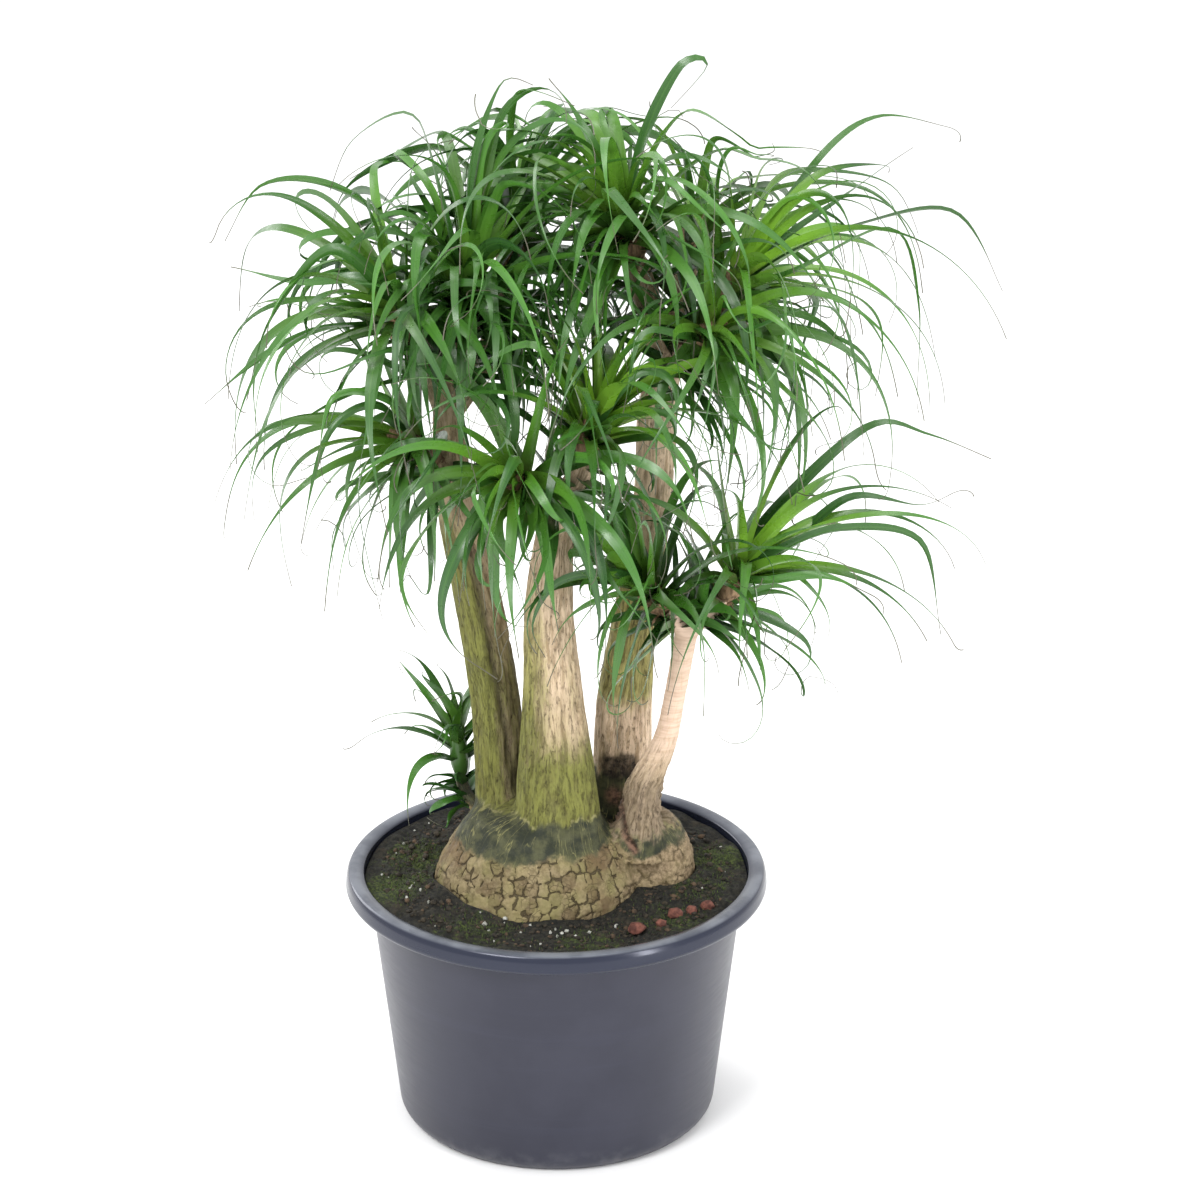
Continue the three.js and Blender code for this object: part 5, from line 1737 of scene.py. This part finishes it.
def thread_line(head, points, seed):
    """A fine curled thread beyond some leaves' tips, and none where it would leave the frame's box."""
    if head.draw(seed, 30) > THREAD_SHARE:
        return NO_THREAD
    way = unit(points[-1] - points[-2])
    step = mix(*THREAD_LENGTHS, head.draw(seed, 31)) / THREAD_STEPS
    wind = mix(*THREAD_WINDINGS, head.draw(seed, 32))
    pivot = unit(np.cross(way, [head.draw(seed, key) - 0.5 for key in (33, 34, 35)]))
    line = [points[-1]]
    for k in range(THREAD_STEPS):
        way = turned(way, pivot, wind * 2 * (k + 1) / THREAD_STEPS ** 2)
        line.append(line[-1] + way * step)
    line = np.array(line)
    return line[1:] if is_in_frame(line) else NO_THREAD


def blade_sides(forwards, shares, side, twist, phase):
    """The direction across the blade at each station, as it twists and rolls on its way."""
    sides = []
    for forward, share in zip(forwards, shares):
        side = turned(unit(side - forward * (side @ forward)), forward, twist)
        sides.append(turned(side, forward, ROLL * share * math.sin(ROLL_WAVES * share + phase)))
    return np.array(sides)


def blade_rings(head, points, seed, width, stations, thread=NO_THREAD):
    """Rings and shares of one fine blade: a strap folded along its middle that thins to a thread."""
    shares = np.linspace(0, 1, stations + 1)
    centres = np.concatenate([smooth(points, shares), thread])
    shares = np.concatenate([shares, np.ones(len(thread))])
    phase = 6.28 * head.draw(seed, 23)
    twist = LEAF_TWIST * (2 * head.draw(seed + 1, 7) - 1) / stations
    side = unit(np.cross(head.axis, points[3] - points[0]))
    sway = WANDER * width * shares ** 1.5 * np.sin(ROLL_WAVES * 0.7 * shares + 2 * phase)
    centres = centres + sway[:, None] * side
    forwards = unit(np.gradient(centres, axis=0))
    sides = blade_sides(forwards, shares, side, twist, phase)
    ups = np.cross(forwards, sides)
    taper = MARKED_TAPER if MARKED_SEED <= seed < 2 * MARKED_SEED else head.taper
    full = leaf_width(shares) * width * mix(0.72, 1, soft_step(shares, 0, 0.1))
    full = np.maximum(full * mix(1, TIP_WIDTH, soft_step(shares, taper, 0.97)), THREAD_WIDTH)
    fold = full * mix(0.34, 0.08, soft_step(shares, 0.0, 0.6))
    thick = BLADE_THICKNESS * mix(1.5, 0.6, shares)
    rings = []
    for place, face in SECTION:
        height = fold * (abs(place) - 0.4)
        height = height + face * 0.5 * np.maximum(MARGIN_THICKNESS, thick * (1 - 0.75 * abs(place)))
        rings.append(centres + sides * (0.5 * full * place)[:, None] + ups * height[:, None])
    return np.stack(rings, axis=1), shares


def husk_line(head, index):
    """A short dry leaf base that hugs the neck under the head."""
    outward = head.outward(index * GOLDEN_ANGLE + head.seed)
    rise, lean, reach, swerve = (head.draw(HUSK_SEED + index, key) for key in (1, 2, 3, 4))
    root = head.top + head.axis * mix(-6, 10, rise) + outward * head.neck * 0.85
    way = unit(head.axis * mix(1.2, 0.3, lean) + outward)
    return arched(root, way, mix(*HUSK_LENGTHS, reach) * head.core_scale, 1.8, 1.5 * (swerve - 0.5))


def core_rings(head, sides=20, count=14):
    """The core that the leaves grow from, with its foot where the frame has it."""
    rows = smooth(CORE_PROFILE, np.linspace(0, 1, count))
    lift = head.core_scale * rows[:, 0]
    lift[0] = TOUCH_GAP
    centres = head.top + head.axis * lift[:, None]
    return bark_rings(centres, np.repeat(head.axis[None], count, axis=0), rows[:, 1] * head.neck, sides, 0, 0)


class Bunch:
    """The blades of one head, gathered for one mesh."""

    def __init__(self, head):
        self.head = head
        self.lofts, self.kinds, self.coords, self.tones, self.freshness = [], [], [], [], []

    def add(self, rings, shares, kind, tone=0.0, fresh=0.0):
        sides = rings.shape[1]
        rim = [0.5 + 0.5 * place for place, _ in SECTION] if sides == len(SECTION) else [0.5] * sides
        self.lofts.append(rings)
        self.kinds += [kind] * ((len(rings) - 1) * sides + 2)
        self.coords.append(np.column_stack([np.tile(rim, len(rings)), np.repeat(shares, sides)]))
        self.tones.append(np.full(len(rings) * sides, tone))
        self.freshness.append(np.full(len(rings) * sides, fresh))

    def add_blades(self, leaves, widths, stations, outwardness):
        """Blades along (points, seed) leaves; outwardness says of a seed how far out its leaf grows."""
        for points, seed in leaves:
            thread = thread_line(self.head, points, seed)
            width = mix(*widths, self.head.draw(seed, 21))
            rings, shares = blade_rings(self.head, points, seed, width, stations, thread)
            fresh = self.head.fresh * mix(1.4, -0.1, min(1, outwardness(seed)))
            self.add(rings, shares, LEAF_KIND, self.head.draw(seed, 22), min(1, max(0, fresh)))

    def mesh(self):
        mesh = new_mesh(self.head.name + "_leaves", *joined(self.lofts))
        mesh.polygons.foreach_set("material_index", np.array(self.kinds, np.int32))
        corners = np.empty(len(mesh.loops), np.int32)
        mesh.loops.foreach_get("vertex_index", corners)
        spread = np.concatenate(self.coords)[corners]
        mesh.uv_layers.new(name="UVMap").data.foreach_set("uv", spread.ravel())
        set_values(mesh, "tone", np.concatenate(self.tones))
        set_values(mesh, "fresh", np.concatenate(self.freshness))
        mesh.set_sharp_from_angle(angle=BLADE_CREASE)
        return mesh


def head_mesh(head, placed, wood):
    bunch = Bunch(head)
    shown = [(points if seed >= MARKED_SEED else pressed(points), seed) for points, seed in placed]
    extra = loose_leaves(head, wood, head.extra, EXTRA_SEED, extra_leaf, is_free)
    collar = loose_leaves(head, wood, head.collar, COLLAR_SEED, collar_leaf, is_collar_free)
    front = loose_leaves(head, wood, head.front, FRONT_SEED, front_leaf, is_front_free)
    widths = [head.slim * width for width in FRAME_WIDTHS]
    bunch.add_blades(shown, widths, BLADE_STATIONS, lambda seed: seed / head.leaves)
    bunch.add_blades(extra + collar, EXTRA_WIDTHS, EXTRA_STATIONS,
                     lambda seed: (seed - EXTRA_SEED) / head.extra)
    bunch.add_blades(front, FRONT_WIDTHS, BLADE_STATIONS, lambda seed: FRONT_OUTWARDNESS)
    for index in range(0 if head.is_shoot else HUSK_COUNT):
        line = husk_line(head, index)
        rings, shares = blade_rings(head, line, HUSK_SEED + index, HUSK_WIDTH, HUSK_STATIONS)
        bunch.add(rings, shares, HUSK_KIND)
    core = core_rings(head)
    bunch.add(core, np.zeros(len(core)), LEAF_KIND if head.is_shoot else HUSK_KIND)
    return bunch.mesh()


def make_heads():
    materials = [leaf_finish(), husk_finish()]
    wood = wood_stretches()
    for head, placed in zip(HEADS, place_leaves()):
        mesh = head_mesh(head, placed, wood)
        new_piece(head.name + "_leaves", mesh, [head.name], materials)


add_camera()
add_studio()
make_pot()
make_wood()
make_soil()
make_clay_chips()
make_heads()
